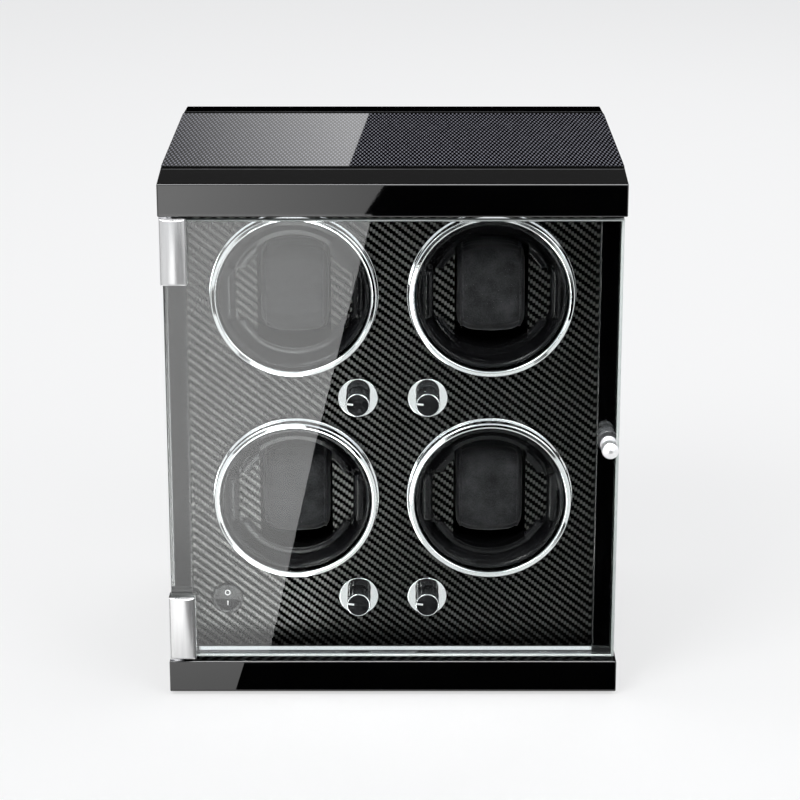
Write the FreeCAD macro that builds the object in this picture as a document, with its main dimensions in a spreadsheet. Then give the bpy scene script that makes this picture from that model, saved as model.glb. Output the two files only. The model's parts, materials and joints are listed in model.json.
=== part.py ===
import FreeCAD, Part
import math
import os
import Sketcher
from FreeCAD import Rotation, Vector

# A four-rotor watch winder box: a lacquered cabinet with a pivoting glass door, four driven rotors
# that carry watch pillows, a selector knob for each rotor, and one power switch. Millimetres, +Z up,
# the door faces -Y, and the origin is on the floor below the middle of the overall box.
driving = {
    # cabinet
    "cap_width": 260.0,
    "cap_depth": 220.0,
    "cap_front_height": 18.5,
    "cap_rise": 3.5,
    "cap_rear_fall": 1.6,
    "cap_border": 32.0,
    "inlay_thick": 1.2,
    "base_height": 19.0,
    "bay_height": 264.5,
    "edge_round": 0.8,
    "foot_height": 2.0,
    "foot_radius": 9.0,
    "foot_inset": 22.0,
    "wall_thick": 13.0,
    "wall_inset": 1.0,
    "wall_setback": 12.0,
    "cover_thick": 4.0,
    "cover_inset": 3.0,
    "fit_gap": 0.3,
    # front panel and its bottom trim
    "panel_setback": 28.0,
    "panel_thick": 5.0,
    "strip_setback": 18.4,
    "strip_height": 2.3,
    "strip_thick": 2.2,
    "strip_lean": 1.2,
    # rotor stations
    "station_shift": 4.0,
    "station_clear": 2.0,
    "row_share": 0.46,
    "bezel_radius": 48.0,
    "bezel_band": 4.4,
    "bezel_height": 10.0,
    "bezel_flange": 3.0,
    "bezel_step": 0.8,
    "bezel_slope": 0.35,
    "bezel_wall": 1.2,
    "bezel_spigot": 8.0,
    "bezel_round": 1.1,
    # rotor
    "rotor_gap": 0.6,
    "rim_setback": 4.0,
    "rim_fall": 6.0,
    "rim_land": 2.0,
    "rim_depth": 14.0,
    "rim_width": 6.5,
    "face_step": 2.1,
    "face_recess": 1.5,
    "face_thick": 1.5,
    "face_ledge": 1.0,
    "barrel_wall": 2.5,
    "cup_depth": 43.0,
    "pocket_wall": 2.0,
    "grip_overhang": 3.5,
    "grip_half": 14.5,
    "grip_round": 3.0,
    "ridge_overlap": 1.0,
    "ridge_width": 4.4,
    "ridge_height": 4.5,
    "ridge_round": 1.2,
    "hub_radius": 9.0,
    "hub_height": 3.0,
    "pillow_width": 40.0,
    "pillow_side": 1.0,
    "strap_gap": 6.4,
    "pillow_proud": 2.0,
    "pillow_corner": 15.0,
    "pillow_draw": 3.2,
    # drive train
    "gear_module": 1.0,
    "gear_width": 6.0,
    "mesh_play": 0.2,
    "axle_radius": 3.0,
    "run_gap": 0.05,
    "bush_wall": 2.0,
    "plate_gap": 6.0,
    "plate_thick": 3.0,
    "plate_margin": 4.0,
    "post_radius": 4.0,
    "post_inset": 10.0,
    "motor_radius": 12.5,
    "motor_length": 46.0,
    "motor_boss": 4.0,
    "motor_shaft": 2.0,
    "motor_bolt": 8.5,
    # controls
    "knob_x": 20.0,
    "knob_gap": 2.6,
    "knob_radius": 6.9,
    "knob_height": 14.2,
    "knob_plate_radius": 11.4,
    "knob_plate_thick": 1.2,
    "bushing_radius": 3.5,
    "bushing_reach": 1.5,
    "spindle_radius": 2.0,
    "selector_size": 16.0,
    "selector_depth": 12.0,
    "switch_inset": 19.0,
    "switch_height": 29.5,
    "switch_flange": 9.2,
    "switch_flange_thick": 2.0,
    "switch_body": 8.0,
    "switch_depth": 18.0,
    "rocker_radius": 6.4,
    "rocker_gap": 0.7,
    "rocker_reach": 3.6,
    "rocker_tilt": 8.0,
    "rocker_pin": 1.2,
    "rocker_dish": 1.0,
    # glass door
    "glass_thick": 5.0,
    "glass_setback": 2.5,
    "glass_inset": 1.5,
    "door_gap": 1.2,
    "clamp_end": 1.0,
    "clamp_front": 1.4,
    "clamp_back": 2.4,
    "clamp_width": 15.0,
    "clamp_length": 38.0,
    "clamp_grip": 0.1,
    "pivot_inset": 4.5,
    "glass_overhang": 2.4,
    "pin_radius": 2.0,
    "pin_length": 9.0,
    "socket_wall": 1.5,
    "handle_radius": 4.8,
    "handle_neck": 3.2,
    "handle_head": 8.0,
    "handle_length": 15.5,
    "handle_dome": 1.6,
    "handle_tip": 1.2,
    "handle_round": 1.5,
    "stud_radius": 2.0,
    "strike_radius": 6.0,
    "magnet_radius": 5.0,
    "magnet_thick": 3.0,
    # electrics and fasteners
    "board_width": 110.0,
    "board_length": 70.0,
    "board_thick": 1.6,
    "board_rise": 6.0,
    "board_setback": 12.0,
    "jack_x": 70.0,
    "jack_height": 26.0,
    "jack_radius": 5.5,
    "jack_bore": 2.9,
    "jack_pin": 1.0,
    "lead_radius": 1.0,
    "lead_bend": 9.0,
    "screw_head": 3.0,
    "screw_head_height": 1.8,
    "screw_shank": 1.5,
    "screw_length": 10.0,
}

doc = FreeCAD.newDocument("watch_winder_box")
sheet = doc.addObject("Spreadsheet::Sheet", "dims")
for row, (alias, size) in enumerate(driving.items(), 1):
    sheet.set(f"A{row}", str(size))
    sheet.setAlias(f"A{row}", alias)
doc.recompute()


class Size:
    """A length kept as a spreadsheet expression, so that what it sizes stays bound to the sheet."""

    def __init__(self, text):
        self.text = str(text)

    def __str__(self):
        return self.text

    def __add__(self, other):
        return Size(f"({self} + {other})")

    def __sub__(self, other):
        return Size(f"({self} - {other})")

    def __mul__(self, other):
        return Size(f"({self} * {other})")

    def __truediv__(self, other):
        return Size(f"({self} / {other})")

    def __neg__(self):
        return Size(f"(0 - {self})")


def number(size):
    return float(sheet.evalExpression(str(size)))


class Dims:
    """The sheet's aliases as sizes: dims.cap_width and so on."""


dims = Dims()
for alias in driving:
    setattr(dims, alias, Size(f"dims.{alias}"))

zero = Size("0")
tiny = 1e-4
pieces = {}

# Heights, from the floor up.
base_bottom = dims.foot_height
base_top = base_bottom + dims.base_height
cap_bottom = base_top + dims.bay_height
cap_top = cap_bottom + dims.cap_front_height + dims.cap_rise
door_middle = base_top + dims.bay_height / 2

# Widths, from the middle outwards.
half_width = dims.cap_width / 2
wall_outer = half_width - dims.wall_inset
wall_inner = wall_outer - dims.wall_thick
pivot_x = dims.pivot_inset - half_width
station_x = (wall_inner - dims.station_shift) / 2
handle_x = (wall_inner + wall_outer) / 2

# Depths behind the cap's front face, whose place centres the overall box on the origin.
handle_reach = dims.handle_length - dims.glass_setback
front = (handle_reach - dims.cap_depth) / 2
glass_back = dims.glass_setback + dims.glass_thick
pivot_depth = dims.glass_setback + dims.glass_thick / 2
panel_back = dims.panel_setback + dims.panel_thick
cover_back = dims.cap_depth - dims.cover_inset
cover_front = cover_back - dims.cover_thick
bezel_front = dims.panel_setback - dims.bezel_height
rim_front = bezel_front + dims.rim_setback
mouth_depth = rim_front + dims.rim_fall
face_front = mouth_depth + dims.face_recess
face_back = face_front + dims.face_thick
cup_floor = face_back + dims.cup_depth
drum_back = cup_floor + dims.barrel_wall
hub_back = drum_back + dims.hub_height
gear_back = hub_back + dims.gear_width
plate_front = gear_back + dims.plate_gap
plate_back = plate_front + dims.plate_thick

# Rotor radii, from the bezel inwards.
bezel_bore = dims.bezel_radius - dims.bezel_band
rim_outer = bezel_bore - dims.rotor_gap
mouth_radius = rim_outer - dims.rim_width
face_radius = mouth_radius - dims.face_step
cavity = face_radius - dims.face_ledge
pocket_half = dims.pillow_width / 2 + dims.pillow_side
pillow_height = (cavity - dims.strap_gap) * 2

# Rotor stations: side of the box, row, and the way from the rotor to its motor.
stations = {
    "upper_left": (-1, 1, -1),
    "upper_right": (1, 1, -1),
    "lower_left": (-1, 0, 1),
    "lower_right": (1, 0, 1),
}
gear_teeth = 60
pinion_teeth = 15
mesh_distance = dims.gear_module * ((gear_teeth + pinion_teeth) / 2) + dims.mesh_play
upper_row = cap_bottom - dims.bezel_radius - dims.station_clear
row_rise = dims.bay_height * dims.row_share
knob_drop = dims.bezel_radius + dims.knob_plate_radius + dims.knob_gap


def station_axis(name):
    side, row, _ = stations[name]
    return station_x * side, upper_row - row_rise * (1 - row)


def motor_axis(name):
    x, z = station_axis(name)
    return x, z + mesh_distance * stations[name][2]


def selector_axis(name):
    side = stations[name][0]
    return dims.knob_x * side, station_axis(name)[1] - knob_drop


def bind(thing, **sizes):
    for property_name, size in sizes.items():
        thing.setExpression(property_name, str(size))
    return thing


def move(thing, x, y, z):
    for axis, size in zip("xyz", (x, y, z)):
        thing.setExpression(f"Placement.Base.{axis}", str(size))
    return thing


def block(x, depth, z):
    """A box between two widths, two depths behind the cap's front, and two heights."""
    thing = doc.addObject("Part::Box", "block")
    bind(thing, Length=x[1] - x[0], Width=depth[1] - depth[0], Height=z[1] - z[0])
    return move(thing, x[0], front + depth[0], z[0])


def rod(radius, depth, axis):
    """A cylinder along the depth of the box."""
    thing = doc.addObject("Part::Cylinder", "rod")
    thing.Placement.Rotation = Rotation(Vector(1, 0, 0), -90)
    bind(thing, Radius=radius, Height=depth[1] - depth[0])
    return move(thing, axis[0], front + depth[0], axis[1])


def upright(radius, z, x, depth):
    """A vertical cylinder."""
    thing = doc.addObject("Part::Cylinder", "upright")
    bind(thing, Radius=radius, Height=z[1] - z[0])
    return move(thing, x, front + depth, z[0])


def prism(radius, depth, axis):
    """A hexagonal bar along the depth of the box."""
    thing = doc.addObject("Part::Prism", "prism")
    thing.Polygon = 6
    thing.Placement.Rotation = Rotation(Vector(1, 0, 0), -90)
    bind(thing, Circumradius=radius, Height=depth[1] - depth[0])
    return move(thing, axis[0], front + depth[0], axis[1])


def joined(*parts):
    thing = doc.addObject("Part::MultiFuse", "joined")
    thing.Shapes = list(parts)
    return thing


def cut(base, *tools):
    thing = doc.addObject("Part::Cut", "cut")
    thing.Base = base
    thing.Tool = joined(*tools) if len(tools) > 1 else tools[0]
    return thing


def common(first, second):
    thing = doc.addObject("Part::Common", "common")
    thing.Base = first
    thing.Tool = second
    return thing


def softened(base, radius, chosen):
    """Rounds the chosen edges of a solid."""
    doc.recompute()
    thing = doc.addObject("Part::Fillet", "softened")
    thing.Base = base
    width = number(radius)
    thing.Edges = [(i, width, width) for i, edge in enumerate(base.Shape.Edges, 1) if chosen(edge)]
    return thing


def runs_along(axis):
    """Chooses the straight edges along one axis: 0, 1 or 2 for X, Y or Z."""

    def chosen(edge):
        ends = [vertex.Point for vertex in edge.Vertexes]
        if len(ends) < 2:
            return False
        way = ends[1] - ends[0]
        return abs(way[axis]) > tiny and way.Length - abs(way[axis]) < tiny

    return chosen


def piece(label, thing):
    thing.Label = label
    pieces[label] = thing
    return thing


def group(label, things):
    """Identical separate solids that share one name."""
    thing = doc.addObject("Part::Compound", "set")
    thing.Links = list(things)
    return piece(label, thing)


def outline_sketch(body, plane_role, points):
    """A closed outline of straight lines whose corners are bound to the sheet."""
    sketch = body.newObject("Sketcher::SketchObject", "outline")
    plane = next(part for part in body.Origin.OriginFeatures if part.Role == plane_role)
    sketch.AttachmentSupport = (plane, [""])
    sketch.MapMode = "FlatFace"
    corners = [Vector(number(u), number(v), 0) for u, v in points]
    count = len(points)
    for i in range(count):
        sketch.addGeometry(Part.LineSegment(corners[i], corners[(i + 1) % count]))
    for i in range(count):
        sketch.addConstraint(Sketcher.Constraint("Coincident", i, 2, (i + 1) % count, 1))
    for i, corner in enumerate(points):
        for kind, axis, size, place in zip(("DistanceX", "DistanceY"), (-2, -1), corner, corners[i]):
            if abs(place) < tiny:
                sketch.addConstraint(Sketcher.Constraint("PointOnObject", i, 1, axis))
                continue
            index = sketch.addConstraint(Sketcher.Constraint(kind, i, 1, place))
            sketch.setExpression(f"Constraints[{index}]", str(size))
    return sketch


def turned(points, axis, rounds=()):
    """A piece turned about an axis along the depth: corners are (radius, depth behind the front).

    Each round gives one of these corners and the radius that softens it.
    """
    body = doc.addObject("PartDesign::Body", "turned")
    feature = body.newObject("PartDesign::Revolution", "turn")
    sketch = outline_sketch(body, "XY_Plane", points)
    feature.Profile = sketch
    feature.ReferenceAxis = (sketch, ["V_Axis"])
    feature.Angle = 360
    body.Tip = feature
    for corner, radius in rounds:
        doc.recompute()
        corner_radius, corner_depth = (number(size) for size in corner)
        names = []
        for i, edge in enumerate(feature.Shape.Edges, 1):
            circle = isinstance(edge.Curve, Part.Circle)
            if circle and math.dist(
                (edge.Curve.Radius, edge.Curve.Center.y), (corner_radius, corner_depth)
            ) < tiny:
                names.append(f"Edge{i}")
        fillet = body.newObject("PartDesign::Fillet", "round")
        fillet.Base = (feature, names)
        bind(fillet, Radius=radius)
        feature = fillet
        body.Tip = feature
    return move(body, axis[0], front, axis[1])


def screw(head_side, depth, axis):
    """A pan head and its shank; head_side is 1 where the head faces the rear, -1 the front."""
    head = depth + dims.screw_head_height * head_side
    tip = depth - dims.screw_length * head_side
    low, high = (depth, head) if head_side > 0 else (head, depth)
    first, last = (tip, depth) if head_side > 0 else (depth, tip)
    return joined(rod(dims.screw_head, (low, high), axis), rod(dims.screw_shank, (first, last), axis))


def screw_hole(head_side, depth, axis):
    tip = depth - (dims.screw_length + dims.fit_gap) * head_side
    first, last = (tip, depth) if head_side > 0 else (depth, tip)
    return rod(dims.screw_shank + dims.run_gap, (first, last), axis)


# Base plinth on four rubber feet, with the lower pivot's socket hole in its top.
socket_radius = dims.pin_radius + dims.run_gap + dims.socket_wall
socket_flange = socket_radius + dims.socket_wall / 2
plinth = block((-half_width, half_width), (zero, dims.cap_depth), (base_bottom, base_top))
plinth = softened(plinth, dims.edge_round, lambda edge: True)
socket_low = base_top - dims.pin_length
lower_hole = upright(socket_radius, (socket_low, base_top), pivot_x, pivot_depth)

# The control board stands on its four pillars on the plinth, just ahead of the rear cover.
board_back = cover_front - dims.board_setback
board_front = board_back - dims.board_length
pillar_inset = dims.screw_head + dims.fit_gap
pillar_x = dims.board_width / 2 - pillar_inset
pillar_places = [
    (pillar_x * side, depth)
    for side in (-1, 1)
    for depth in (board_front + pillar_inset, board_back - pillar_inset)
]
piece("base_plinth", cut(plinth, lower_hole))

feet = []
for side in (-1, 1):
    for depth in (dims.foot_inset, dims.cap_depth - dims.foot_inset):
        foot = doc.addObject("Part::Cone", "foot")
        bind(foot, Radius1=dims.foot_radius - dims.edge_round, Radius2=dims.foot_radius)
        bind(foot, Height=dims.foot_height)
        feet.append(move(foot, (half_width - dims.foot_inset) * side, front + depth, zero))
group("rubber_feet", feet)

# Cap: sloping front and rear borders round a full-width recess that holds the inlay.
cap_height = cap_top - cap_bottom
inlay_back = dims.cap_depth - dims.cap_border
cap_corners = [
    (zero, zero),
    (zero, dims.cap_front_height),
    (dims.cap_border, cap_height),
    (dims.cap_border, cap_height - dims.inlay_thick),
    (inlay_back, cap_height - dims.inlay_thick),
    (inlay_back, cap_height),
    (dims.cap_depth, cap_height - dims.cap_rear_fall),
    (dims.cap_depth, zero),
]


def bar_across(corners, x, depth, z):
    """A bar from one width to another; its outline's corners are (depth, height) from the given place."""
    body = doc.addObject("PartDesign::Body", "bar")
    pad = body.newObject("PartDesign::Pad", "pad")
    pad.Profile = outline_sketch(body, "YZ_Plane", corners)
    bind(pad, Length=x[1] - x[0])
    body.Tip = pad
    return move(body, x[0], front + depth, z)


cap_body = bar_across(cap_corners, (-half_width, half_width), zero, cap_bottom)


def cap_rim(edge):
    """The cap's outer edges, without the recess and without the two brows beside it."""
    box = edge.BoundBox
    along = box.XLength > tiny
    outer = abs(box.Center.y - number(front)) < tiny
    outer = outer or abs(box.Center.y - number(front + dims.cap_depth)) < tiny
    recess_low = number(cap_top - dims.inlay_thick)
    recess = box.ZMin > recess_low - tiny or (box.ZLength < tiny and abs(box.ZMin - recess_low) < tiny)
    recess = recess or (box.YLength < tiny and box.ZMax > number(cap_top) - tiny)
    return outer if along else not recess


cap_round = softened(cap_body, dims.edge_round, cap_rim)
upper_hole = upright(socket_radius, (cap_bottom, cap_bottom + dims.pin_length), pivot_x, pivot_depth)
piece("top_cap", cut(cap_round, upper_hole))
piece(
    "top_inlay",
    block(
        (-half_width, half_width),
        (dims.cap_border, inlay_back),
        (cap_top - dims.inlay_thick, cap_top),
    ),
)

# Side walls between base and cap, the rear cover screwed to their back edges, and the door magnet.
magnet_depth = dims.wall_setback + dims.magnet_thick
magnet_axis = (handle_x, door_middle)
cover_screw_x = (wall_outer + wall_inner) / 2
cover_screw_rows = [
    base_top + dims.wall_thick,
    base_top + dims.bay_height / 2,
    cap_bottom - dims.wall_thick,
]
for name, side in (("left_side_wall", -1), ("right_side_wall", 1)):
    span = (-wall_outer, -wall_inner) if side < 0 else (wall_inner, wall_outer)
    wall = block(span, (dims.wall_setback, cover_front), (base_top, cap_bottom))
    wall = softened(wall, dims.edge_round, runs_along(2))
    holes = [screw_hole(1, cover_back, (cover_screw_x * side, z)) for z in cover_screw_rows]
    if side > 0:
        holes.append(rod(dims.magnet_radius, (dims.wall_setback, magnet_depth), magnet_axis))
    piece(name, cut(wall, *holes))
piece("door_magnet", rod(dims.magnet_radius, (dims.wall_setback, magnet_depth), magnet_axis))

jack_axis = (dims.jack_x, base_top + dims.jack_height)
cover = block(
    (-wall_outer, wall_outer),
    (cover_front, cover_back),
    (base_top, cap_bottom),
)
cover_axes = [(cover_screw_x * side, z) for side in (-1, 1) for z in cover_screw_rows]
cover_holes = [screw_hole(1, cover_back, axis) for axis in cover_axes]
cover_holes.append(rod(dims.jack_radius, (cover_front, cover_back), jack_axis))
piece("rear_cover", cut(cover, *cover_holes))
group("rear_cover_screws", [screw(1, cover_back, axis) for axis in cover_axes])

# Front panel with its round openings, and the leaning bright strip on the base in front of its foot.
bezel_spigot = bezel_bore + dims.bezel_wall
switch_axis = (dims.switch_inset - wall_inner, base_top + dims.switch_height)
panel = block((-wall_inner, wall_inner), (dims.panel_setback, panel_back), (base_top, cap_bottom))
panel_span = (dims.panel_setback, panel_back)
panel_holes = [rod(bezel_spigot, panel_span, station_axis(name)) for name in stations]
panel_holes += [rod(dims.bushing_radius, panel_span, selector_axis(name)) for name in stations]
panel_holes.append(rod(dims.switch_body, panel_span, switch_axis))
piece("front_panel", cut(panel, *panel_holes))
strip_corners = [
    (zero, zero),
    (dims.strip_lean, dims.strip_height),
    (dims.strip_thick, dims.strip_height),
    (dims.strip_thick, zero),
]
strip = bar_across(strip_corners, (-wall_inner, wall_inner), dims.strip_setback, base_top)
piece("panel_trim_strip", softened(strip, dims.fit_gap, runs_along(0)))

# Bezel rings: a flange on the panel, a front that slopes back outwards, and a spigot through the panel.
bezel_crest = dims.bezel_radius - dims.bezel_step
flange_front = dims.panel_setback - dims.bezel_flange
bezel_lip = (bezel_bore, bezel_front)
bezel_brow = (bezel_crest, bezel_front + dims.bezel_slope)
bezel_foot = (dims.bezel_radius, flange_front)
bezel_corners = [
    bezel_lip,
    bezel_brow,
    (bezel_crest, flange_front),
    bezel_foot,
    (dims.bezel_radius, dims.panel_setback),
    (bezel_spigot, dims.panel_setback),
    (bezel_spigot, dims.panel_setback + dims.bezel_spigot),
    (bezel_bore, dims.panel_setback + dims.bezel_spigot),
]
bezel_rounds = [
    (bezel_lip, dims.bezel_round),
    (bezel_brow, dims.bezel_round),
    (bezel_foot, dims.bezel_step / 2),
]
for name in stations:
    piece(f"bezel_ring_{name}", turned(bezel_corners, station_axis(name), bezel_rounds))

# Rotors: a flanged drum with two finger grips and a pocket, and two face plates beside the pocket.
rim_back = rim_front + dims.rim_depth
rim_inner = rim_outer - dims.rim_land
barrel = cavity + dims.barrel_wall
drum_mouth = (mouth_radius, mouth_depth)
rim_brow = (rim_inner, rim_front)
rim_edge = (rim_outer, rim_front)
drum_corners = [
    drum_mouth,
    rim_brow,
    rim_edge,
    (rim_outer, rim_back),
    (barrel, rim_back),
    (barrel, drum_back),
    (dims.hub_radius, drum_back),
    (dims.hub_radius, hub_back),
    (dims.axle_radius, hub_back),
    (dims.axle_radius, cup_floor),
    (cavity, cup_floor),
    (cavity, face_back),
    (face_radius, face_back),
    (face_radius, face_front),
    (mouth_radius, face_front),
]
drum_rounds = [(drum_mouth, dims.edge_round), (rim_brow, dims.rim_land), (rim_edge, dims.edge_round)]
pocket_outer = pocket_half + dims.pocket_wall
grip_inner = mouth_radius - dims.grip_overhang
grip_outer = mouth_radius + dims.grip_overhang
grip_front = rim_front + dims.fit_gap
ridge_outer = face_radius + dims.ridge_overlap
ridge_inner = ridge_outer - dims.ridge_width
ridge_front = face_front - dims.ridge_height
ridge_low = (ridge_inner, ridge_front)
ridge_high = (ridge_outer, ridge_front)
ridge_corners = [
    ridge_low,
    ridge_high,
    (ridge_outer, face_front),
    (ridge_inner, face_front),
]
ridge_rounds = [(ridge_low, dims.ridge_round), (ridge_high, dims.ridge_round)]


def rotor_drum(name):
    """The turned cup with its pocket walls, a pill-shaped grip at each side and four arc ridges."""
    x, z = station_axis(name)
    parts = [turned(drum_corners, (x, z), drum_rounds)]
    front_y = number(front + grip_front)
    for side in (-1, 1):
        low, high = (pocket_half, pocket_outer)
        wall_x = (x + low, x + high) if side > 0 else (x - high, x - low)
        slab = block(wall_x, (face_back, cup_floor), (z - barrel, z + barrel))
        parts.append(common(slab, rod(barrel, (face_back, cup_floor), (x, z))))
        grip_x = (x + grip_inner, x + grip_outer) if side > 0 else (x - grip_outer, x - grip_inner)
        bar = block(grip_x, (grip_front, face_front), (z - dims.grip_half, z + dims.grip_half))
        along = runs_along(1)
        parts.append(
            softened(
                bar,
                dims.grip_round,
                lambda edge: along(edge) or edge.BoundBox.YMax < front_y + tiny,
            )
        )
    ridge_span = (ridge_front, face_front)
    beside = dims.grip_half + dims.edge_round
    upright_gap = block((x - pocket_half, x + pocket_half), ridge_span, (z - ridge_outer, z + ridge_outer))
    level_gap = block((x - ridge_outer, x + ridge_outer), ridge_span, (z - beside, z + beside))
    parts.append(cut(turned(ridge_corners, (x, z), ridge_rounds), upright_gap, level_gap))
    return joined(*parts)


def rotor_faces(name):
    x, z = station_axis(name)
    plates = []
    plate_depth = (face_front, face_back)
    for side in (-1, 1):
        low, high = (pocket_half, face_radius)
        span = (x + low, x + high) if side > 0 else (x - high, x - low)
        slab = block(span, plate_depth, (z - face_radius, z + face_radius))
        plates.append(common(slab, rod(face_radius, plate_depth, (x, z))))
    return plates


def cushion_outline(x, half_depth, half_height, corner):
    """A rounded rectangle across the cushion, as four lines and four quarter arcs."""
    flat_y = half_depth - corner
    flat_z = half_height - corner
    diagonal = corner * math.sqrt(0.5)
    edges = []
    for turn, (sign_y, sign_z) in enumerate(((1, 1), (-1, 1), (-1, -1), (1, -1))):
        centre = Vector(x, flat_y * sign_y, flat_z * sign_z)
        side_y = centre + Vector(0, corner * sign_y, 0)
        side_z = centre + Vector(0, 0, corner * sign_z)
        middle = centre + Vector(0, diagonal * sign_y, diagonal * sign_z)
        start, end = (side_y, side_z) if turn % 2 == 0 else (side_z, side_y)
        if edges:
            edges.append(Part.LineSegment(edges[-1].Vertexes[-1].Point, start).toShape())
        edges.append(Part.Arc(start, middle, end).toShape())
    edges.append(Part.LineSegment(edges[-1].Vertexes[-1].Point, edges[0].Vertexes[0].Point).toShape())
    return Part.Wire(edges)


# Stations across the cushion's half width and how much of the end draw each one has.
cushion_draw = ((0.0, 0.0), (0.5, 0.05), (0.9, 0.32), (1.0, 1.0))


def watch_pillow(name):
    """A stuffed cushion: full in the middle and drawn in towards its two end panels."""
    x, z = station_axis(name)
    pillow_front = face_front - dims.pillow_proud
    pillow_back = cup_floor - dims.fit_gap
    half_depth = number(pillow_back - pillow_front) / 2
    half_height = number(pillow_height) / 2
    half_span = number(dims.pillow_width) / 2
    steps = [(-share, draw) for share, draw in reversed(cushion_draw[1:])] + list(cushion_draw)
    wires = []
    for share, draw in steps:
        inset = number(dims.pillow_draw) * draw
        corner = number(dims.pillow_corner) - inset
        wires.append(
            cushion_outline(half_span * share, half_depth - inset, half_height - inset, corner)
        )
    thing = doc.addObject("Part::Feature", "cushion")
    thing.Shape = Part.makeLoft(wires, True)
    return move(thing, x, front + (pillow_front + pillow_back) / 2, z)


# Gear teeth: involute flanks drawn as straight runs between the root, pitch and tip circles.
pressure_angle = math.radians(20)
addendum = 0.8
dedendum = 1.1
lightening_holes = 5


def involute(angle):
    return math.tan(angle) - angle


def gear_outline(teeth, phase):
    module = number(dims.gear_module)
    pitch = module * teeth / 2
    base = pitch * math.cos(pressure_angle)
    half_tooth = (math.pi * module / 2 - number(dims.mesh_play)) / 2 / pitch
    radii = (pitch - dedendum * module, pitch, pitch + addendum * module)
    flanks = []
    for radius in radii:
        lean = involute(pressure_angle) - involute(math.acos(min(1.0, base / radius)))
        flanks.append((radius, half_tooth + lean))
    corners = []
    for tooth in range(teeth):
        middle = phase + 2 * math.pi * tooth / teeth
        for radius, spread in flanks:
            corners.append((radius, middle - spread))
        for radius, spread in reversed(flanks):
            corners.append((radius, middle + spread))
    points = [Vector(radius * math.cos(a), 0, radius * math.sin(a)) for radius, a in corners]
    return Part.makePolygon(points + points[:1])


def disc_along_depth(radius, start, end):
    return Part.makeCylinder(radius, end - start, Vector(0, start, 0), Vector(0, 1, 0))


def gear_with_shaft(teeth, phase, width, shaft_radius, shaft_front, shaft_back, axis, face_depth):
    """A gear from its face backwards, moulded on a shaft; depths are from the gear's face."""
    solid = Part.Face(gear_outline(teeth, phase)).extrude(Vector(0, width, 0))
    root = number(dims.gear_module) * (teeth / 2 - dedendum)
    if root > 3 * number(dims.hub_radius):
        ring = (root + number(dims.hub_radius)) / 2
        hole = (root - number(dims.hub_radius)) / 4
        for i in range(lightening_holes):
            angle = 2 * math.pi * i / lightening_holes
            place = Vector(ring * math.cos(angle), 0, ring * math.sin(angle))
            solid = solid.cut(Part.makeCylinder(hole, width, place, Vector(0, 1, 0)))
    solid = solid.fuse(disc_along_depth(shaft_radius, shaft_front, shaft_back)).removeSplitter()
    thing = doc.addObject("Part::Feature", "gear")
    thing.Shape = solid
    return move(thing, axis[0], front + face_depth, axis[1])


axle_tail = plate_back + dims.bush_wall + dims.motor_boss
pinion_overlap = dims.gear_width / 6
motor_bore_end = plate_back + dims.plate_gap * 2

for name in stations:
    toward = math.radians(90 * stations[name][2])
    piece(f"rotor_drum_{name}", rotor_drum(name))
    group(f"rotor_face_{name}", rotor_faces(name))
    piece(f"watch_pillow_{name}", watch_pillow(name))
    piece(
        f"rotor_gear_{name}",
        gear_with_shaft(
            gear_teeth,
            toward,
            number(dims.gear_width),
            number(dims.axle_radius - dims.run_gap),
            number(cup_floor - hub_back),
            number(axle_tail - hub_back),
            station_axis(name),
            hub_back,
        ),
    )
    piece(
        f"motor_pinion_{name}",
        gear_with_shaft(
            pinion_teeth,
            toward + math.pi + math.pi / pinion_teeth,
            number(dims.gear_width + pinion_overlap * 2),
            number(dims.motor_shaft),
            0.0,
            number(motor_bore_end - dims.fit_gap - (hub_back - pinion_overlap)),
            motor_axis(name),
            hub_back - pinion_overlap,
        ),
    )

# Drive plate behind the rotors, held off the front panel by six posts.
post_x = wall_inner - dims.post_inset
post_rows = [
    base_top + dims.post_inset + dims.post_radius,
    base_top + dims.bay_height / 2,
    cap_bottom - dims.post_inset - dims.post_radius,
]
post_axes = [(post_x * side, z) for side in (-1, 1) for z in post_rows]
motor_bolt_axes = []
for name in stations:
    motor_x, motor_z = motor_axis(name)
    motor_bolt_axes += [(motor_x + dims.motor_bolt * side, motor_z) for side in (-1, 1)]
plate_span = (plate_front, plate_back)
bush_outer = dims.axle_radius + dims.bush_wall
plate = block(
    (dims.plate_margin - wall_inner, wall_inner - dims.plate_margin),
    plate_span,
    (base_top + dims.plate_margin, cap_bottom - dims.plate_margin),
)
plate_holes = [rod(bush_outer, plate_span, station_axis(name)) for name in stations]
plate_holes += [rod(dims.motor_boss, plate_span, motor_axis(name)) for name in stations]
lead_axes = [selector_axis(name) for name in stations] + [switch_axis]
plate_holes += [rod(dims.lead_radius * 3, plate_span, axis) for axis in lead_axes]
plate_holes += [screw_hole(1, plate_back, axis) for axis in post_axes]
plate_holes += [screw_hole(-1, plate_front, axis) for axis in motor_bolt_axes]
piece("drive_plate", cut(plate, *plate_holes))
posts = []
for axis in post_axes:
    post = rod(dims.post_radius, (panel_back, plate_front), axis)
    posts.append(cut(post, screw_hole(1, plate_back, axis)))
group("plate_posts", posts)
plate_screws = [screw(1, plate_back, axis) for axis in post_axes]
plate_screws += [screw(-1, plate_front, axis) for axis in motor_bolt_axes]
group("drive_screws", plate_screws)

# Flanged bushes that carry the rotor axles in the plate.
bush_bore = dims.axle_radius
bush_corners = [
    (bush_bore, plate_front - dims.bush_wall),
    (bush_outer + dims.bush_wall, plate_front - dims.bush_wall),
    (bush_outer + dims.bush_wall, plate_front),
    (bush_outer, plate_front),
    (bush_outer, plate_back + dims.bush_wall),
    (bush_bore, plate_back + dims.bush_wall),
]
group("axle_bushes", [turned(bush_corners, station_axis(name)) for name in stations])

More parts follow.
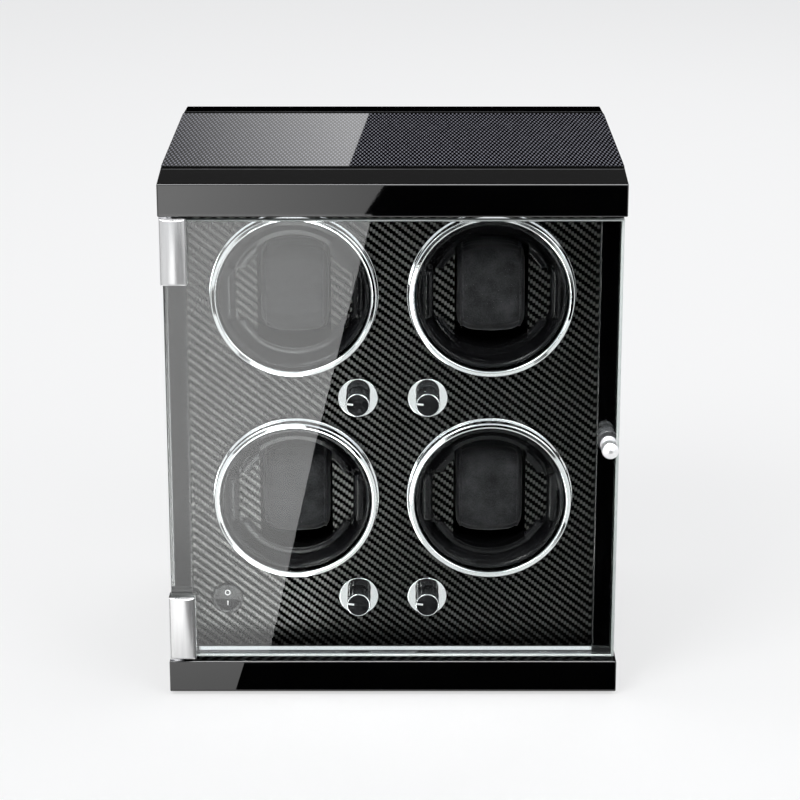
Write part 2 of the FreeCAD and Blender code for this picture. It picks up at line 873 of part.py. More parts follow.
# Gear motors on the back of the plate: a boss in the plate, a gearbox, a waist and the motor can.
gearbox_back = plate_back + dims.motor_length * 0.45
motor_waist = dims.motor_radius - dims.edge_round
shaft_bore = dims.motor_shaft + dims.run_gap
motor_corners = [
    (shaft_bore, plate_front),
    (dims.motor_boss, plate_front),
    (dims.motor_boss, plate_back),
    (dims.motor_radius, plate_back),
    (dims.motor_radius, gearbox_back),
    (motor_waist, gearbox_back),
    (motor_waist, plate_back + dims.motor_length),
    (zero, plate_back + dims.motor_length),
    (zero, motor_bore_end),
    (shaft_bore, motor_bore_end),
]
motors = []
for name in stations:
    motor_x, motor_z = motor_axis(name)
    motor = turned(motor_corners, (motor_x, motor_z))
    holes = [
        screw_hole(-1, plate_front, (motor_x + dims.motor_bolt * side, motor_z)) for side in (-1, 1)
    ]
    motors.append(cut(motor, *holes))
group("gear_motors", motors)

# Selector knobs: the switch behind the panel, its nut and bright plate in front, and the knob.
knob_plate_front = dims.panel_setback - dims.knob_plate_thick
bushing_front = knob_plate_front - dims.bushing_reach
selector_back = panel_back + dims.selector_depth
nut_radius = dims.knob_radius - dims.edge_round - dims.fit_gap
selector_bore = dims.spindle_radius + dims.run_gap
spindle_end = selector_back - dims.bushing_reach
selectors = []
knob_plates = []
for name in stations:
    axis = selector_axis(name)
    half = dims.selector_size / 2
    case = block(
        (axis[0] - half, axis[0] + half),
        (panel_back, selector_back),
        (axis[1] - half, axis[1] + half),
    )
    bushing = rod(dims.bushing_radius, (bushing_front, panel_back), axis)
    nut = prism(nut_radius, (bushing_front + dims.fit_gap, knob_plate_front), axis)
    bore = rod(selector_bore, (bushing_front, spindle_end + dims.fit_gap), axis)
    selectors.append(cut(joined(case, bushing, nut), bore))
    plate_rim = (dims.knob_plate_radius, knob_plate_front)
    plate_corners = [
        (dims.bushing_radius, knob_plate_front),
        plate_rim,
        (dims.knob_plate_radius, dims.panel_setback),
        (dims.bushing_radius, dims.panel_setback),
    ]
    knob_plates.append(turned(plate_corners, axis, [(plate_rim, dims.fit_gap)]))
    knob_back = knob_plate_front - dims.fit_gap
    knob_front = knob_back - dims.knob_height
    knob_hollow = bushing_front - dims.edge_round
    hollow_radius = dims.knob_radius - dims.edge_round
    knob_edge = (dims.knob_radius, knob_front)
    knob_corners = [
        (zero, knob_front),
        knob_edge,
        (dims.knob_radius, knob_back),
        (hollow_radius, knob_back),
        (hollow_radius, knob_hollow),
        (dims.spindle_radius, knob_hollow),
        (dims.spindle_radius, spindle_end),
        (zero, spindle_end),
    ]
    piece(f"selector_knob_{name}", turned(knob_corners, axis, [(knob_edge, dims.fit_gap)]))
group("rotary_switches", selectors)
group("knob_plates", knob_plates)

# Power switch: a round flanged body, and a rocker on two trunnions, resting with its top pressed in.
flange_depth = dims.panel_setback - dims.switch_flange_thick
rocker_bore = dims.rocker_radius + dims.rocker_gap
rocker_depth = flange_depth + dims.rocker_reach
bore_end = rocker_depth + dims.rocker_radius + dims.rocker_gap
switch_lip = (dims.switch_flange, flange_depth)
switch_corners = [
    (rocker_bore, flange_depth),
    switch_lip,
    (dims.switch_flange, dims.panel_setback),
    (dims.switch_body, dims.panel_setback),
    (dims.switch_body, dims.panel_setback + dims.switch_depth),
    (zero, dims.panel_setback + dims.switch_depth),
    (zero, bore_end),
    (rocker_bore, bore_end),
]
switch = turned(switch_corners, switch_axis, [(switch_lip, dims.edge_round)])
pin_reach = dims.switch_body


def cross_pin(radius, half_length, x, y, z):
    """A cylinder along X, centred on the given point."""
    thing = doc.addObject("Part::Cylinder", "cross_pin")
    thing.Placement.Rotation = Rotation(Vector(0, 1, 0), 90)
    bind(thing, Radius=radius, Height=half_length * 2)
    return move(thing, x - half_length, y, z)


pin_hole = cross_pin(
    dims.rocker_pin + dims.run_gap, pin_reach, switch_axis[0], front + rocker_depth, switch_axis[1]
)
piece("switch_body", cut(switch, pin_hole))
round_bar = cross_pin(dims.rocker_radius, dims.rocker_radius, zero, zero, zero)
face_bar = doc.addObject("Part::Cylinder", "face_bar")
face_bar.Placement.Rotation = Rotation(Vector(1, 0, 0), -90)
bind(face_bar, Radius=dims.rocker_radius, Height=dims.rocker_reach * 2)
move(face_bar, zero, -dims.rocker_reach, zero)
dish_radius = dims.rocker_radius * 5
dish_y = dims.rocker_dish - dims.rocker_reach - dish_radius
dish = cross_pin(dish_radius, dims.rocker_radius, zero, dish_y, zero)
trunnions = cross_pin(dims.rocker_pin, pin_reach - dims.fit_gap, zero, zero, zero)
rocker = joined(cut(common(face_bar, round_bar), dish), trunnions)
rocker.Placement.Rotation = Rotation(Vector(1, 0, 0), -number(dims.rocker_tilt))
piece("power_rocker", move(rocker, switch_axis[0], front + rocker_depth, switch_axis[1]))

# Glass door on two pivot clamps at its left corners.
glass_left = pivot_x - dims.glass_overhang
glass_right = half_width - dims.glass_inset
glass_low = base_top + dims.door_gap + dims.clamp_end
glass_high = cap_bottom - dims.door_gap - dims.clamp_end
handle_axis = (handle_x, door_middle)
glass = block((glass_left, glass_right), (dims.glass_setback, glass_back), (glass_low, glass_high))
glass = softened(glass, dims.edge_round, lambda edge: True)
handle_hole = rod(dims.stud_radius + dims.fit_gap, (dims.glass_setback, glass_back), handle_axis)
piece("door_glass", cut(glass, handle_hole))

clamp_left = glass_left - dims.clamp_front - dims.clamp_grip
clamp_right = clamp_left + dims.clamp_width
clamp_near = dims.glass_setback - dims.clamp_front - dims.clamp_grip
clamp_far = glass_back + dims.clamp_back + dims.clamp_grip
slot_left = glass_left - dims.clamp_grip
slot_span = (dims.glass_setback - dims.clamp_grip, glass_back + dims.clamp_grip)
clamp_screw_x = (slot_left + clamp_right) / 2
pins = []
clamp_screws = []
sockets = []
for name, upward in (("upper", 1), ("lower", -1)):
    end = cap_bottom - dims.door_gap if upward > 0 else base_top + dims.door_gap
    heel = end - dims.clamp_length * upward
    slot_end = end - (dims.clamp_end - dims.clamp_grip) * upward
    z_span = (heel, end) if upward > 0 else (end, heel)
    slot_z = (heel, slot_end) if upward > 0 else (slot_end, heel)
    jaw = softened(
        block((clamp_left, clamp_right), (clamp_near, clamp_far), z_span),
        dims.edge_round,
        runs_along(2),
    )
    slot = block((slot_left, clamp_right), slot_span, slot_z)
    pin_start = slot_end
    pin_tip = end + (dims.pin_length - dims.clamp_end) * upward
    pin_z = (pin_start, pin_tip) if upward > 0 else (pin_tip, pin_start)
    pins.append(upright(dims.pin_radius, pin_z, pivot_x, pivot_depth))
    pin_seat = upright(dims.pin_radius, pin_z, pivot_x, pivot_depth)
    seats = []
    for share in (0.3, 0.7):
        axis = (clamp_screw_x, end - dims.clamp_length * share * upward)
        reach = (slot_span[1], clamp_far)
        seats.append(rod(dims.screw_shank, reach, axis))
        grub = rod(dims.screw_shank, reach, axis)
        key = prism(dims.screw_shank / 2, (clamp_far - dims.clamp_back / 2, clamp_far), axis)
        clamp_screws.append(cut(grub, key))
    piece(f"hinge_clamp_{name}", cut(jaw, slot, pin_seat, *seats))
    # Flanged socket that the pin turns in, filling the gap between the clamp and the cabinet.
    face = cap_bottom if upward > 0 else base_top
    hole_end = face + dims.pin_length * upward
    flange_end = face - (dims.door_gap - dims.clamp_grip) * upward
    sleeve_z = (face, hole_end) if upward > 0 else (hole_end, face)
    flange_z = (flange_end, face) if upward > 0 else (face, flange_end)
    bore_z = (flange_end, hole_end) if upward > 0 else (hole_end, flange_end)
    sleeve = upright(socket_radius, sleeve_z, pivot_x, pivot_depth)
    flange = upright(socket_flange, flange_z, pivot_x, pivot_depth)
    bore = upright(dims.pin_radius + dims.run_gap, bore_z, pivot_x, pivot_depth)
    sockets.append(cut(joined(sleeve, flange), bore))
group("pivot_pins", pins)
group("clamp_screws", clamp_screws)
group("pivot_sockets", sockets)

# Door handle, a turned knob in front of the glass, and the steel strike behind it that holds it on.
handle_front = dims.glass_setback - dims.handle_length
head_back = handle_front + dims.handle_head
foot_back = dims.glass_setback - dims.bezel_flange / 2
stud_end = head_back - dims.stud_radius
handle_tip = (dims.handle_tip, handle_front)
handle_brow = (dims.handle_radius, handle_front + dims.handle_dome)
handle_heel = (dims.handle_radius, head_back)
handle_foot = (dims.handle_radius, foot_back)
handle_corners = [
    (zero, handle_front),
    handle_tip,
    handle_brow,
    handle_heel,
    (dims.handle_neck, head_back),
    (dims.handle_neck, foot_back),
    handle_foot,
    (dims.handle_radius, dims.glass_setback),
    (dims.stud_radius, dims.glass_setback),
    (dims.stud_radius, stud_end),
    (zero, stud_end),
]
handle_rounds = [
    (handle_tip, dims.handle_round),
    (handle_brow, dims.handle_round),
    (handle_heel, dims.edge_round),
    (handle_foot, dims.fit_gap),
]
piece("door_knob", turned(handle_corners, handle_axis, handle_rounds))
strike_back = dims.wall_setback - dims.fit_gap
strike_edge = (dims.strike_radius, strike_back)
strike_corners = [
    (zero, stud_end + dims.fit_gap),
    (dims.stud_radius - dims.run_gap, stud_end + dims.fit_gap),
    (dims.stud_radius - dims.run_gap, glass_back),
    (dims.strike_radius, glass_back),
    strike_edge,
    (zero, strike_back),
]
piece("knob_strike", turned(strike_corners, handle_axis, [(strike_edge, dims.fit_gap)]))

# Control board with its parts, on four pillars, and the power inlet in the rear cover.
board_low = base_top + dims.board_rise
board_high = board_low + dims.board_thick
board_span = (-dims.board_width / 2, dims.board_width / 2)
board_parts = [block(board_span, (board_front, board_back), (board_low, board_high))]
board_middle = (board_front + board_back) / 2
# Chips on the board: middle across, middle along, width, length and height.
board_chips = ((0, 0, 12, 12, 2), (-32, -4, 10, 8, 2), (26, -4, 10, 8, 2))
# Plug headers: one for each motor at the rear, for each selector and the switch at the front, and
# one for the power inlet, by its middle across and along the board.
header_rows = {"motor": 24, "control": -26, "inlet": 8}
header_places = {
    "upper_left motor": (-12, header_rows["motor"]),
    "upper_right motor": (12, header_rows["motor"]),
    "lower_left motor": (-36, header_rows["motor"]),
    "lower_right motor": (36, header_rows["motor"]),
    "upper_left control": (-7, header_rows["control"]),
    "upper_right control": (7, header_rows["control"]),
    "lower_left control": (-20, header_rows["control"]),
    "lower_right control": (20, header_rows["control"]),
    "switch": (-40, header_rows["control"]),
    "inlet": (46, header_rows["inlet"]),
}
header_size = (9, 6, 8)
header_blocks = [place + header_size for place in header_places.values()]
for across, along, width, length, height in board_chips + tuple(header_blocks):
    x = (Size(across - width / 2), Size(across + width / 2))
    depth = (board_middle - (length / 2 - along), board_middle + (length / 2 + along))
    board_parts.append(block(x, depth, (board_high, board_high + height)))
group("control_board", board_parts)
pillars = [
    upright(dims.screw_head, (base_top, board_low), x, depth) for x, depth in pillar_places
]
group("board_pillars", pillars)

jack_tail = cover_front - dims.jack_radius * 2
jack_lip = cover_back + dims.edge_round * 2
jack_floor = cover_front - dims.jack_radius
jack_nut = cover_front - dims.jack_bore
jack_edge = (dims.jack_radius + dims.bush_wall, jack_lip)
jack_corners = [
    (dims.jack_bore, jack_lip),
    jack_edge,
    (dims.jack_radius + dims.bush_wall, cover_back),
    (dims.jack_radius, cover_back),
    (dims.jack_radius, cover_front),
    (dims.jack_radius + dims.bush_wall, cover_front),
    (dims.jack_radius + dims.bush_wall, jack_nut),
    (dims.jack_radius, jack_nut),
    (dims.jack_radius, jack_tail),
    (zero, jack_tail),
    (zero, cover_back),
    (dims.jack_pin, cover_back),
    (dims.jack_pin, jack_floor),
    (dims.jack_bore, jack_floor),
]
piece("power_jack", turned(jack_corners, jack_axis, [(jack_edge, dims.edge_round)]))


def lead(points):
    """A two-core lead along straight runs joined by tangent arcs; points are (x, depth, z)."""
    corners = [Vector(number(x), number(front + depth), number(z)) for x, depth, z in points]
    bend = number(dims.lead_bend)
    start = corners[0]
    edges = []
    for before, corner, after in zip(corners, corners[1:], corners[2:]):
        way_in = (corner - before).normalize()
        way_out = (after - corner).normalize()
        half_turn = way_in.getAngle(way_out) / 2
        setback = bend * math.tan(half_turn)
        first = corner - way_in * setback
        last = corner + way_out * setback
        inward = (way_out - way_in).normalize()
        middle = corner + inward * (bend / math.cos(half_turn) - bend)
        edges.append(Part.LineSegment(start, first).toShape())
        edges.append(Part.Arc(first, middle, last).toShape())
        start = last
    edges.append(Part.LineSegment(start, corners[-1]).toShape())
    path = Part.Wire(edges)
    ring = Part.makeCircle(number(dims.lead_radius), corners[0], corners[1] - corners[0])
    tube = path.makePipeShell([Part.Wire(ring)], True, True)
    swept = math.pi * number(dims.lead_radius) ** 2 * path.Length
    if abs(tube.Volume - swept) > swept / 100:
        raise RuntimeError("a lead has the wrong volume")
    thing = doc.addObject("Part::Feature", "lead")
    thing.Shape = tube
    return thing


# Leads from each motor, selector, the switch and the inlet down to their headers on the board.
header_top = board_high + header_size[2]


def header_end(name):
    across, along = header_places[name]
    return Size(across), board_middle + along


leads = []
motor_end = plate_back + dims.motor_length
over = header_top + dims.lead_bend * 2
for name in stations:
    motor_x, motor_z = motor_axis(name)
    x, depth = header_end(f"{name} motor")
    back = motor_end + dims.lead_bend * (3 + stations[name][1])
    above = header_top + (motor_z - header_top) / 2
    leads.append(
        lead(
            [
                (motor_x, motor_end, motor_z),
                (motor_x, back, motor_z),
                (x, depth, above),
                (x, depth, header_top),
            ]
        )
    )
    knob_x, knob_z = selector_axis(name)
    x, depth = header_end(f"{name} control")
    route = [(knob_x, selector_back, knob_z)]
    route.append((knob_x, plate_back + dims.lead_bend * 2, knob_z))
    halfway = header_top + (knob_z - header_top) / 2
    route.append((x, depth, halfway if stations[name][1] else over))
    leads.append(lead(route + [(x, depth, header_top)]))
x, depth = header_end("switch")
switch_back = dims.panel_setback + dims.switch_depth
leads.append(
    lead(
        [
            (switch_axis[0], switch_back, switch_axis[1]),
            (switch_axis[0], plate_back + dims.lead_bend * 2, switch_axis[1]),
            (x, depth, over),
            (x, depth, header_top),
        ]
    )
)
x, depth = header_end("inlet")
leads.append(
    lead(
        [
            (jack_axis[0], jack_tail, jack_axis[1]),
            (jack_axis[0], jack_tail - dims.lead_bend * 2, jack_axis[1]),
            (x, depth, over),
            (x, depth, header_top),
        ]
    )
)
group("wiring_loom", leads)

doc.recompute()
failed = [thing.Label for thing in doc.Objects if {"Invalid", "Error"} & set(thing.State)]
for label, thing in pieces.items():
    if thing.Shape.isNull() or not thing.Shape.isValid() or thing.Shape.Volume < tiny:
        failed.append(label)
if failed:
    raise RuntimeError("failed: " + ", ".join(failed))

os.makedirs("parts", exist_ok=True)
for label, thing in pieces.items():
    thing.Shape.exportStep(f"parts/{label}.step")
print(len(pieces), "pieces written")
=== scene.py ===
import bmesh
import bpy
import json
import math
import numpy as np
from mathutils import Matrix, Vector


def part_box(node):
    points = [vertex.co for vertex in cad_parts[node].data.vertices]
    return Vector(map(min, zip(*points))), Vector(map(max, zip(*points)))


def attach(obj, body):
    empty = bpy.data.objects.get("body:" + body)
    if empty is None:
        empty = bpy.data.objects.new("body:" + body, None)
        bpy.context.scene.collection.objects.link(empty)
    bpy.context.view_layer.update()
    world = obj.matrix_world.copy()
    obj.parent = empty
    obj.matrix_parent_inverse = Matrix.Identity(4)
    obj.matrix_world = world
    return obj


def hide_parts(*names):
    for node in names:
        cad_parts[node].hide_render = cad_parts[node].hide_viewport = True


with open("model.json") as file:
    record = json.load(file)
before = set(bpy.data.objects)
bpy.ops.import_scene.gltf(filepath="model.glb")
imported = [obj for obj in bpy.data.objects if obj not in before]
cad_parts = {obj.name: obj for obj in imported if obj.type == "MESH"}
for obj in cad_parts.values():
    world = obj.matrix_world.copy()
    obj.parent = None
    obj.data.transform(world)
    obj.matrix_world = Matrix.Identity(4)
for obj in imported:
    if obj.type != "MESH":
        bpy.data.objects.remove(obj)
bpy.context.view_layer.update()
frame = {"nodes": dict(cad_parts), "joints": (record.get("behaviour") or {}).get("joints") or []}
nodes = frame["nodes"]
jointPlace = {joint["name"]: np.array(joint["pos_m"]) for joint in frame["joints"]}
stations = ["upper_left", "upper_right", "lower_left", "lower_right"]
mm = 0.001
scene = bpy.context.scene
scene.view_settings.view_transform = "Standard"
print("frame loaded with", len(nodes), "nodes")


# surfaces

def quadGrid(rows, columns, start=0):
    # quads between neighbours of a rows x columns grid, counted row by row
    index = np.arange(rows * columns).reshape(rows, columns) + start
    corners = [index[:-1, :-1], index[:-1, 1:], index[1:, 1:], index[1:, :-1]]
    return np.stack(corners, axis=-1).reshape(-1, 4)


def roundTube(path, radius, sides=10):
    # closed tube: centre line p(t), ring angle a; p + radius * (cos a * side + sin a * lift),
    # where side and lift are square to the path
    ahead = np.roll(path, -1, axis=0) - np.roll(path, 1, axis=0)
    ahead /= np.linalg.norm(ahead, axis=1, keepdims=True)
    guide = np.eye(3)[np.argmin(np.abs(ahead).mean(axis=0))]
    side = np.cross(ahead, guide)
    side /= np.linalg.norm(side, axis=1, keepdims=True)
    lift = np.cross(ahead, side)
    angle = np.linspace(0, 2 * math.pi, sides + 1)[None, :, None]
    ring = np.cos(angle) * side[:, None] + np.sin(angle) * lift[:, None]
    points = path[:, None] + radius * ring
    return np.concatenate([points, points[:1]])


def turnedSurface(profile, place, segments):
    # turned on the depth axis: (radius, depth) profile and angle a; (r cos a, depth, r sin a)
    # about the place
    angle = np.linspace(0, 2 * math.pi, segments + 1)
    radius, depth = profile[:, 0], profile[:, 1]
    points = np.empty((len(profile), segments + 1, 3))
    points[..., 0] = place[0] + radius[:, None] * np.cos(angle)
    points[..., 1] = place[1] + depth[:, None]
    points[..., 2] = place[2] + radius[:, None] * np.sin(angle)
    return points


def gridUv(rows, columns):
    # u runs round the piece, v along its profile
    u, v = np.meshgrid(np.linspace(0, 1, columns), np.linspace(0, 1, rows))
    return np.stack([u, v], axis=-1).reshape(-1, 2)


def placed(name, data):
    # a new object at the origin
    thing = bpy.data.objects.new(name, data)
    scene.collection.objects.link(thing)
    return thing


def shadeSmooth(mesh):
    mesh.polygons.foreach_set("use_smooth", np.ones(len(mesh.polygons), dtype=bool))


def mergeCorners(mesh, distance, outwards=False):
    # corners closer than the distance become one
    work = bmesh.new()
    work.from_mesh(mesh)
    bmesh.ops.remove_doubles(work, verts=work.verts, dist=distance)
    if outwards:
        bmesh.ops.recalc_face_normals(work, faces=work.faces)
    work.to_mesh(mesh)
    work.free()


def surfaceObject(name, grids, materials, bandMaterial=None):
    # each grid is rows x columns x 3; the seams are merged and the faces turned outwards
    verts, quads, uvs = [], [], []
    count = 0
    for grid in grids:
        rows, columns = grid.shape[:2]
        quads.append(quadGrid(rows, columns, count))
        verts.append(grid.reshape(-1, 3))
        uvs.append(gridUv(rows, columns))
        count += rows * columns
    verts, quads, uvs = np.concatenate(verts), np.concatenate(quads), np.concatenate(uvs)
    mesh = bpy.data.meshes.new(name)
    mesh.from_pydata(verts.tolist(), [], quads.tolist())
    layer = mesh.uv_layers.new(name="surface")
    layer.data.foreach_set("uv", uvs[quads.reshape(-1)].ravel())
    if bandMaterial is not None:
        mesh.polygons.foreach_set("material_index", np.asarray(bandMaterial, dtype=np.int32))
    for material in materials:
        mesh.materials.append(material)
    mergeCorners(mesh, 1e-6, outwards=True)
    shadeSmooth(mesh)
    return placed(name, mesh)


def dress(node, material):
    # the CAD node keeps its mesh and gets a finish
    mesh = nodes[node].data
    mesh.materials.clear()
    mesh.materials.append(material)


# node materials

noiseSpan = (0.3, 0.7)  # most of a noise's values lie between these
peelDepth = 0.2


def link(tree, value, socket):
    # an output is linked, a constant is set
    if isinstance(value, bpy.types.NodeSocket):
        tree.links.new(value, socket)
    else:
        socket.default_value = value


def calc(tree, operation, *values):
    node = tree.nodes.new("ShaderNodeMath")
    node.operation = operation
    for i, value in enumerate(values):
        link(tree, value, node.inputs[i])
    return node.outputs[0]


def sine(tree, value, rate):
    return calc(tree, "SINE", calc(tree, "MULTIPLY", value, rate))


def ramp(tree, value, low, high, outLow=0.0, outHigh=1.0):
    node = tree.nodes.new("ShaderNodeMapRange")
    for i, one in enumerate((value, low, high, outLow, outHigh)):
        link(tree, one, node.inputs[i])
    return node.outputs[0]


def mixValue(tree, factor, first, second):
    node = tree.nodes.new("ShaderNodeMix")
    for i, value in ((0, factor), (2, first), (3, second)):
        link(tree, value, node.inputs[i])
    return node.outputs[0]


def mixColour(tree, factor, first, second):
    node = tree.nodes.new("ShaderNodeMix")
    node.data_type = "RGBA"
    for i, value in ((0, factor), (6, (*first, 1)), (7, (*second, 1))):
        link(tree, value, node.inputs[i])
    return node.outputs[2]


def darkened(tree, colour, share):
    # the colour times the share
    node = tree.nodes.new("ShaderNodeMix")
    node.data_type = "RGBA"
    node.blend_type = "MULTIPLY"
    for i, value in ((0, 1.0), (6, colour), (7, share)):
        link(tree, value, node.inputs[i])
    return node.outputs[2]


def coordinates(tree, kind="Object", scale=(1, 1, 1)):
    node = tree.nodes.new("ShaderNodeTexCoord")
    mapping = tree.nodes.new("ShaderNodeMapping")
    mapping.inputs["Scale"].default_value = scale
    tree.links.new(node.outputs[kind], mapping.inputs["Vector"])
    return mapping.outputs[0]


def axes(tree, kind="Object"):
    # the coordinates one by one, as X, Y and Z
    node = tree.nodes.new("ShaderNodeSeparateXYZ")
    tree.links.new(coordinates(tree, kind), node.inputs[0])
    return node.outputs


def noise(tree, vector, scale, detail=2.0):
    node = tree.nodes.new("ShaderNodeTexNoise")
    node.inputs["Scale"].default_value = scale
    node.inputs["Detail"].default_value = detail
    tree.links.new(vector, node.inputs["Vector"])
    return node.outputs["Fac"]


def unevenness(tree, scale, detail, low, high):
    # a share that wanders between low and high over the surface
    return ramp(tree, noise(tree, coordinates(tree), scale, detail), *noiseSpan, low, high)


def bump(tree, height, strength, distance):
    node = tree.nodes.new("ShaderNodeBump")
    node.inputs["Strength"].default_value = strength
    node.inputs["Distance"].default_value = distance
    tree.links.new(height, node.inputs["Height"])
    return node.outputs[0]


def finish(name, **sockets):
    # a principled material; sockets that are the same all over are set here
    material = bpy.data.materials.new(name)
    material.use_nodes = True
    tree = material.node_tree
    shader = tree.nodes["Principled BSDF"]
    for key, value in sockets.items():
        shader.inputs[key.replace("_", " ")].default_value = value
    return material, tree, shader


def feed(tree, shader, **sockets):
    # sockets that vary over the surface are linked here
    for key, value in sockets.items():
        tree.links.new(value, shader.inputs[key.replace("_", " ")])


def grained(name, colours, rough, grain, peel=None, stretch=(1, 1, 1), **sockets):
    # two tones and two roughness ends mixed by noise, and a fine bump of (strength, scale)
    material, tree, shader = finish(name, **sockets)
    place = coordinates(tree, scale=stretch)
    spots = noise(tree, place, grain, 3.0)
    feed(tree, shader, Base_Color=mixColour(tree, ramp(tree, spots, *noiseSpan), *colours),
         Roughness=ramp(tree, spots, *noiseSpan, *rough))
    if peel:
        strength, scale = peel
        fine = noise(tree, place, scale)
        feed(tree, shader, Normal=bump(tree, fine, strength, peelDepth * mm))
    return material


def twillWoven(name, weave):
    # twill: cell (i, j) shows the upright tow where (i + j) mod the repeat is below half of it
    material, tree, shader = finish(name, Specular_IOR_Level=weave["specular"])
    place = axes(tree)
    across = calc(tree, "DIVIDE", place["X"], weave["cellAcross"] * mm)
    along = calc(tree, "DIVIDE", place["Z"], weave["cellUp"] * mm)
    column = calc(tree, "FLOOR", across)
    row = calc(tree, "FLOOR", along)
    inColumn = calc(tree, "SUBTRACT", across, column)
    inRow = calc(tree, "SUBTRACT", along, row)
    repeat, half = weave["repeat"], weave["repeat"] / 2
    step = calc(tree, "FLOORED_MODULO", calc(tree, "ADD", column, row), repeat)
    upright = calc(tree, "LESS_THAN", step, half - 0.5)  # steps are whole numbers
    # each tow is a low arch across its width and over the length that it shows
    runUp = calc(tree, "FLOORED_MODULO", calc(tree, "ADD", column, along), repeat)
    runAcross = calc(tree, "FLOORED_MODULO", calc(tree, "ADD", across, row), repeat)
    overUp = sine(tree, runUp, math.pi / half)
    overAcross = sine(tree, calc(tree, "SUBTRACT", runAcross, half), math.pi / half)
    uprightTow = calc(tree, "MULTIPLY", sine(tree, inColumn, math.pi), overUp)
    levelTow = calc(tree, "MULTIPLY", sine(tree, inRow, math.pi), overAcross)
    height = mixValue(tree, upright, levelTow, uprightTow)
    # fibres: fine streaks along each tow
    fineness = 2 * math.pi * weave["fibres"]
    streak = mixValue(tree, upright, sine(tree, along, fineness), sine(tree, across, fineness))
    arched = ramp(tree, height, 0.0, 1.0, *weave["shade"])
    shade = calc(tree, "ADD", arched, calc(tree, "MULTIPLY", streak, weave["streak"]))
    shade = calc(tree, "MULTIPLY", shade, unevenness(tree, *weave["uneven"]))
    tow = mixColour(tree, upright, weave["dark"], weave["light"])
    feed(tree, shader, Base_Color=darkened(tree, tow, shade),
         Roughness=ramp(tree, upright, 0.0, 1.0, *weave["rough"]),
         Metallic=ramp(tree, upright, 0.0, 1.0, 0.0, weave["metal"]),
         Normal=bump(tree, height, weave["relief"], weave["depth"] * mm))
    return material


def plainWoven(name, weave):
    # plain weave: sin(pi x / across) * sin(pi y / up) is above zero on the cells where the
    # bright tow lies on top
    material, tree, shader = finish(name, Coat_Weight=weave["coat"],
                                    Coat_Roughness=weave["coatRough"],
                                    Specular_IOR_Level=weave["specular"])
    place = axes(tree)
    across = sine(tree, place["X"], math.pi / (weave["cellAcross"] * mm))
    along = sine(tree, place["Y"], math.pi / (weave["cellUp"] * mm))
    raised = ramp(tree, calc(tree, "MULTIPLY", across, along),
                  weave["bias"] - weave["edge"], weave["bias"] + weave["edge"])
    bright = calc(tree, "MULTIPLY", raised, unevenness(tree, *weave["uneven"]))
    feed(tree, shader, Base_Color=mixColour(tree, bright, weave["dark"], weave["light"]),
         Metallic=calc(tree, "MULTIPLY", bright, weave["metal"]),
         Roughness=ramp(tree, raised, 0.0, 1.0, *weave["rough"]),
         Normal=bump(tree, raised, weave["relief"], weave["depth"] * mm))
    return material


lacquer = grained("pianoLacquer", ((0.0004, 0.0004, 0.0005), (0.0008, 0.0008, 0.0009)),
                  (0.008, 0.022), 30.0, (0.006, 900.0), Coat_Weight=0.8, Coat_Roughness=0.01)
backBoard = grained("satinBoard", ((0.012, 0.012, 0.012), (0.020, 0.020, 0.020)),
                    (0.42, 0.56), 120.0, (0.2, 1500.0))
chrome = grained("mirrorChrome", ((0.90, 0.91, 0.92), (0.94, 0.95, 0.95)),
                 (0.03, 0.07), 60.0, Metallic=1.0)
softChrome = grained("softChrome", ((0.88, 0.88, 0.89), (0.93, 0.93, 0.94)),
                     (0.32, 0.38), 90.0, Metallic=1.0)
satinChrome = grained("brushedChrome", ((0.60, 0.60, 0.60), (0.68, 0.68, 0.68)),
                      (0.26, 0.34), 120.0, (0.08, 500.0), stretch=(6, 1, 0.2), Metallic=1.0)
steel = grained("platedSteel", ((0.50, 0.50, 0.52), (0.62, 0.62, 0.64)),
                (0.22, 0.36), 300.0, (0.05, 1200.0), Metallic=1.0)
plateMetal = grained("millAluminium", ((0.58, 0.59, 0.61), (0.68, 0.69, 0.70)),
                     (0.30, 0.45), 40.0, (0.08, 900.0), stretch=(1, 1, 8), Metallic=1.0)
brass = grained("turnedBrass", ((0.60, 0.43, 0.16), (0.74, 0.56, 0.26)),
                (0.20, 0.34), 200.0, (0.05, 1500.0), Metallic=1.0)
glossBlack = grained("glossMoulding", ((0.003, 0.003, 0.0034), (0.005, 0.005, 0.0056)),
                     (0.07, 0.12), 80.0, (0.012, 1200.0), Specular_IOR_Level=0.2,
                     Coat_Weight=0.1, Coat_Roughness=0.05)
knobBlack = grained("knobBarrel", ((0.0015, 0.0015, 0.0016), (0.0025, 0.0025, 0.0027)),
                    (0.18, 0.24), 80.0, (0.01, 1200.0), Specular_IOR_Level=0.012)
acetal = grained("mouldedAcetal", ((0.74, 0.72, 0.66), (0.82, 0.80, 0.75)),
                 (0.36, 0.48), 150.0, (0.08, 1600.0))
rubber = grained("footRubber", ((0.016, 0.016, 0.016), (0.030, 0.030, 0.029)),
                 (0.70, 0.85), 250.0, (0.3, 1800.0))
leadCover = grained("leadInsulation", ((0.025, 0.025, 0.028), (0.045, 0.045, 0.048)),
                    (0.45, 0.58), 200.0, (0.1, 1500.0))
boardCoat = grained("coatedBoard", ((0.010, 0.075, 0.030), (0.020, 0.120, 0.050)),
                    (0.28, 0.40), 180.0, (0.15, 1400.0))
caseBlack = grained("switchCase", ((0.014, 0.014, 0.015), (0.024, 0.024, 0.025)),
                    (0.35, 0.48), 160.0, (0.12, 1500.0))
groundGlass = grained("groundGlass", ((0.50, 0.545, 0.525), (0.58, 0.615, 0.60)),
                      (0.45, 0.60), 200.0, (0.1, 2000.0))
# painted highlight: a flat grey that stands in for the edge highlight of the lacquer border beside
# the lid's inlay
paintedHighlightGrey = grained("lineEnamel", ((0.045, 0.045, 0.046), (0.060, 0.060, 0.061)),
                   (0.40, 0.50), 200.0, Specular_IOR_Level=0.1)
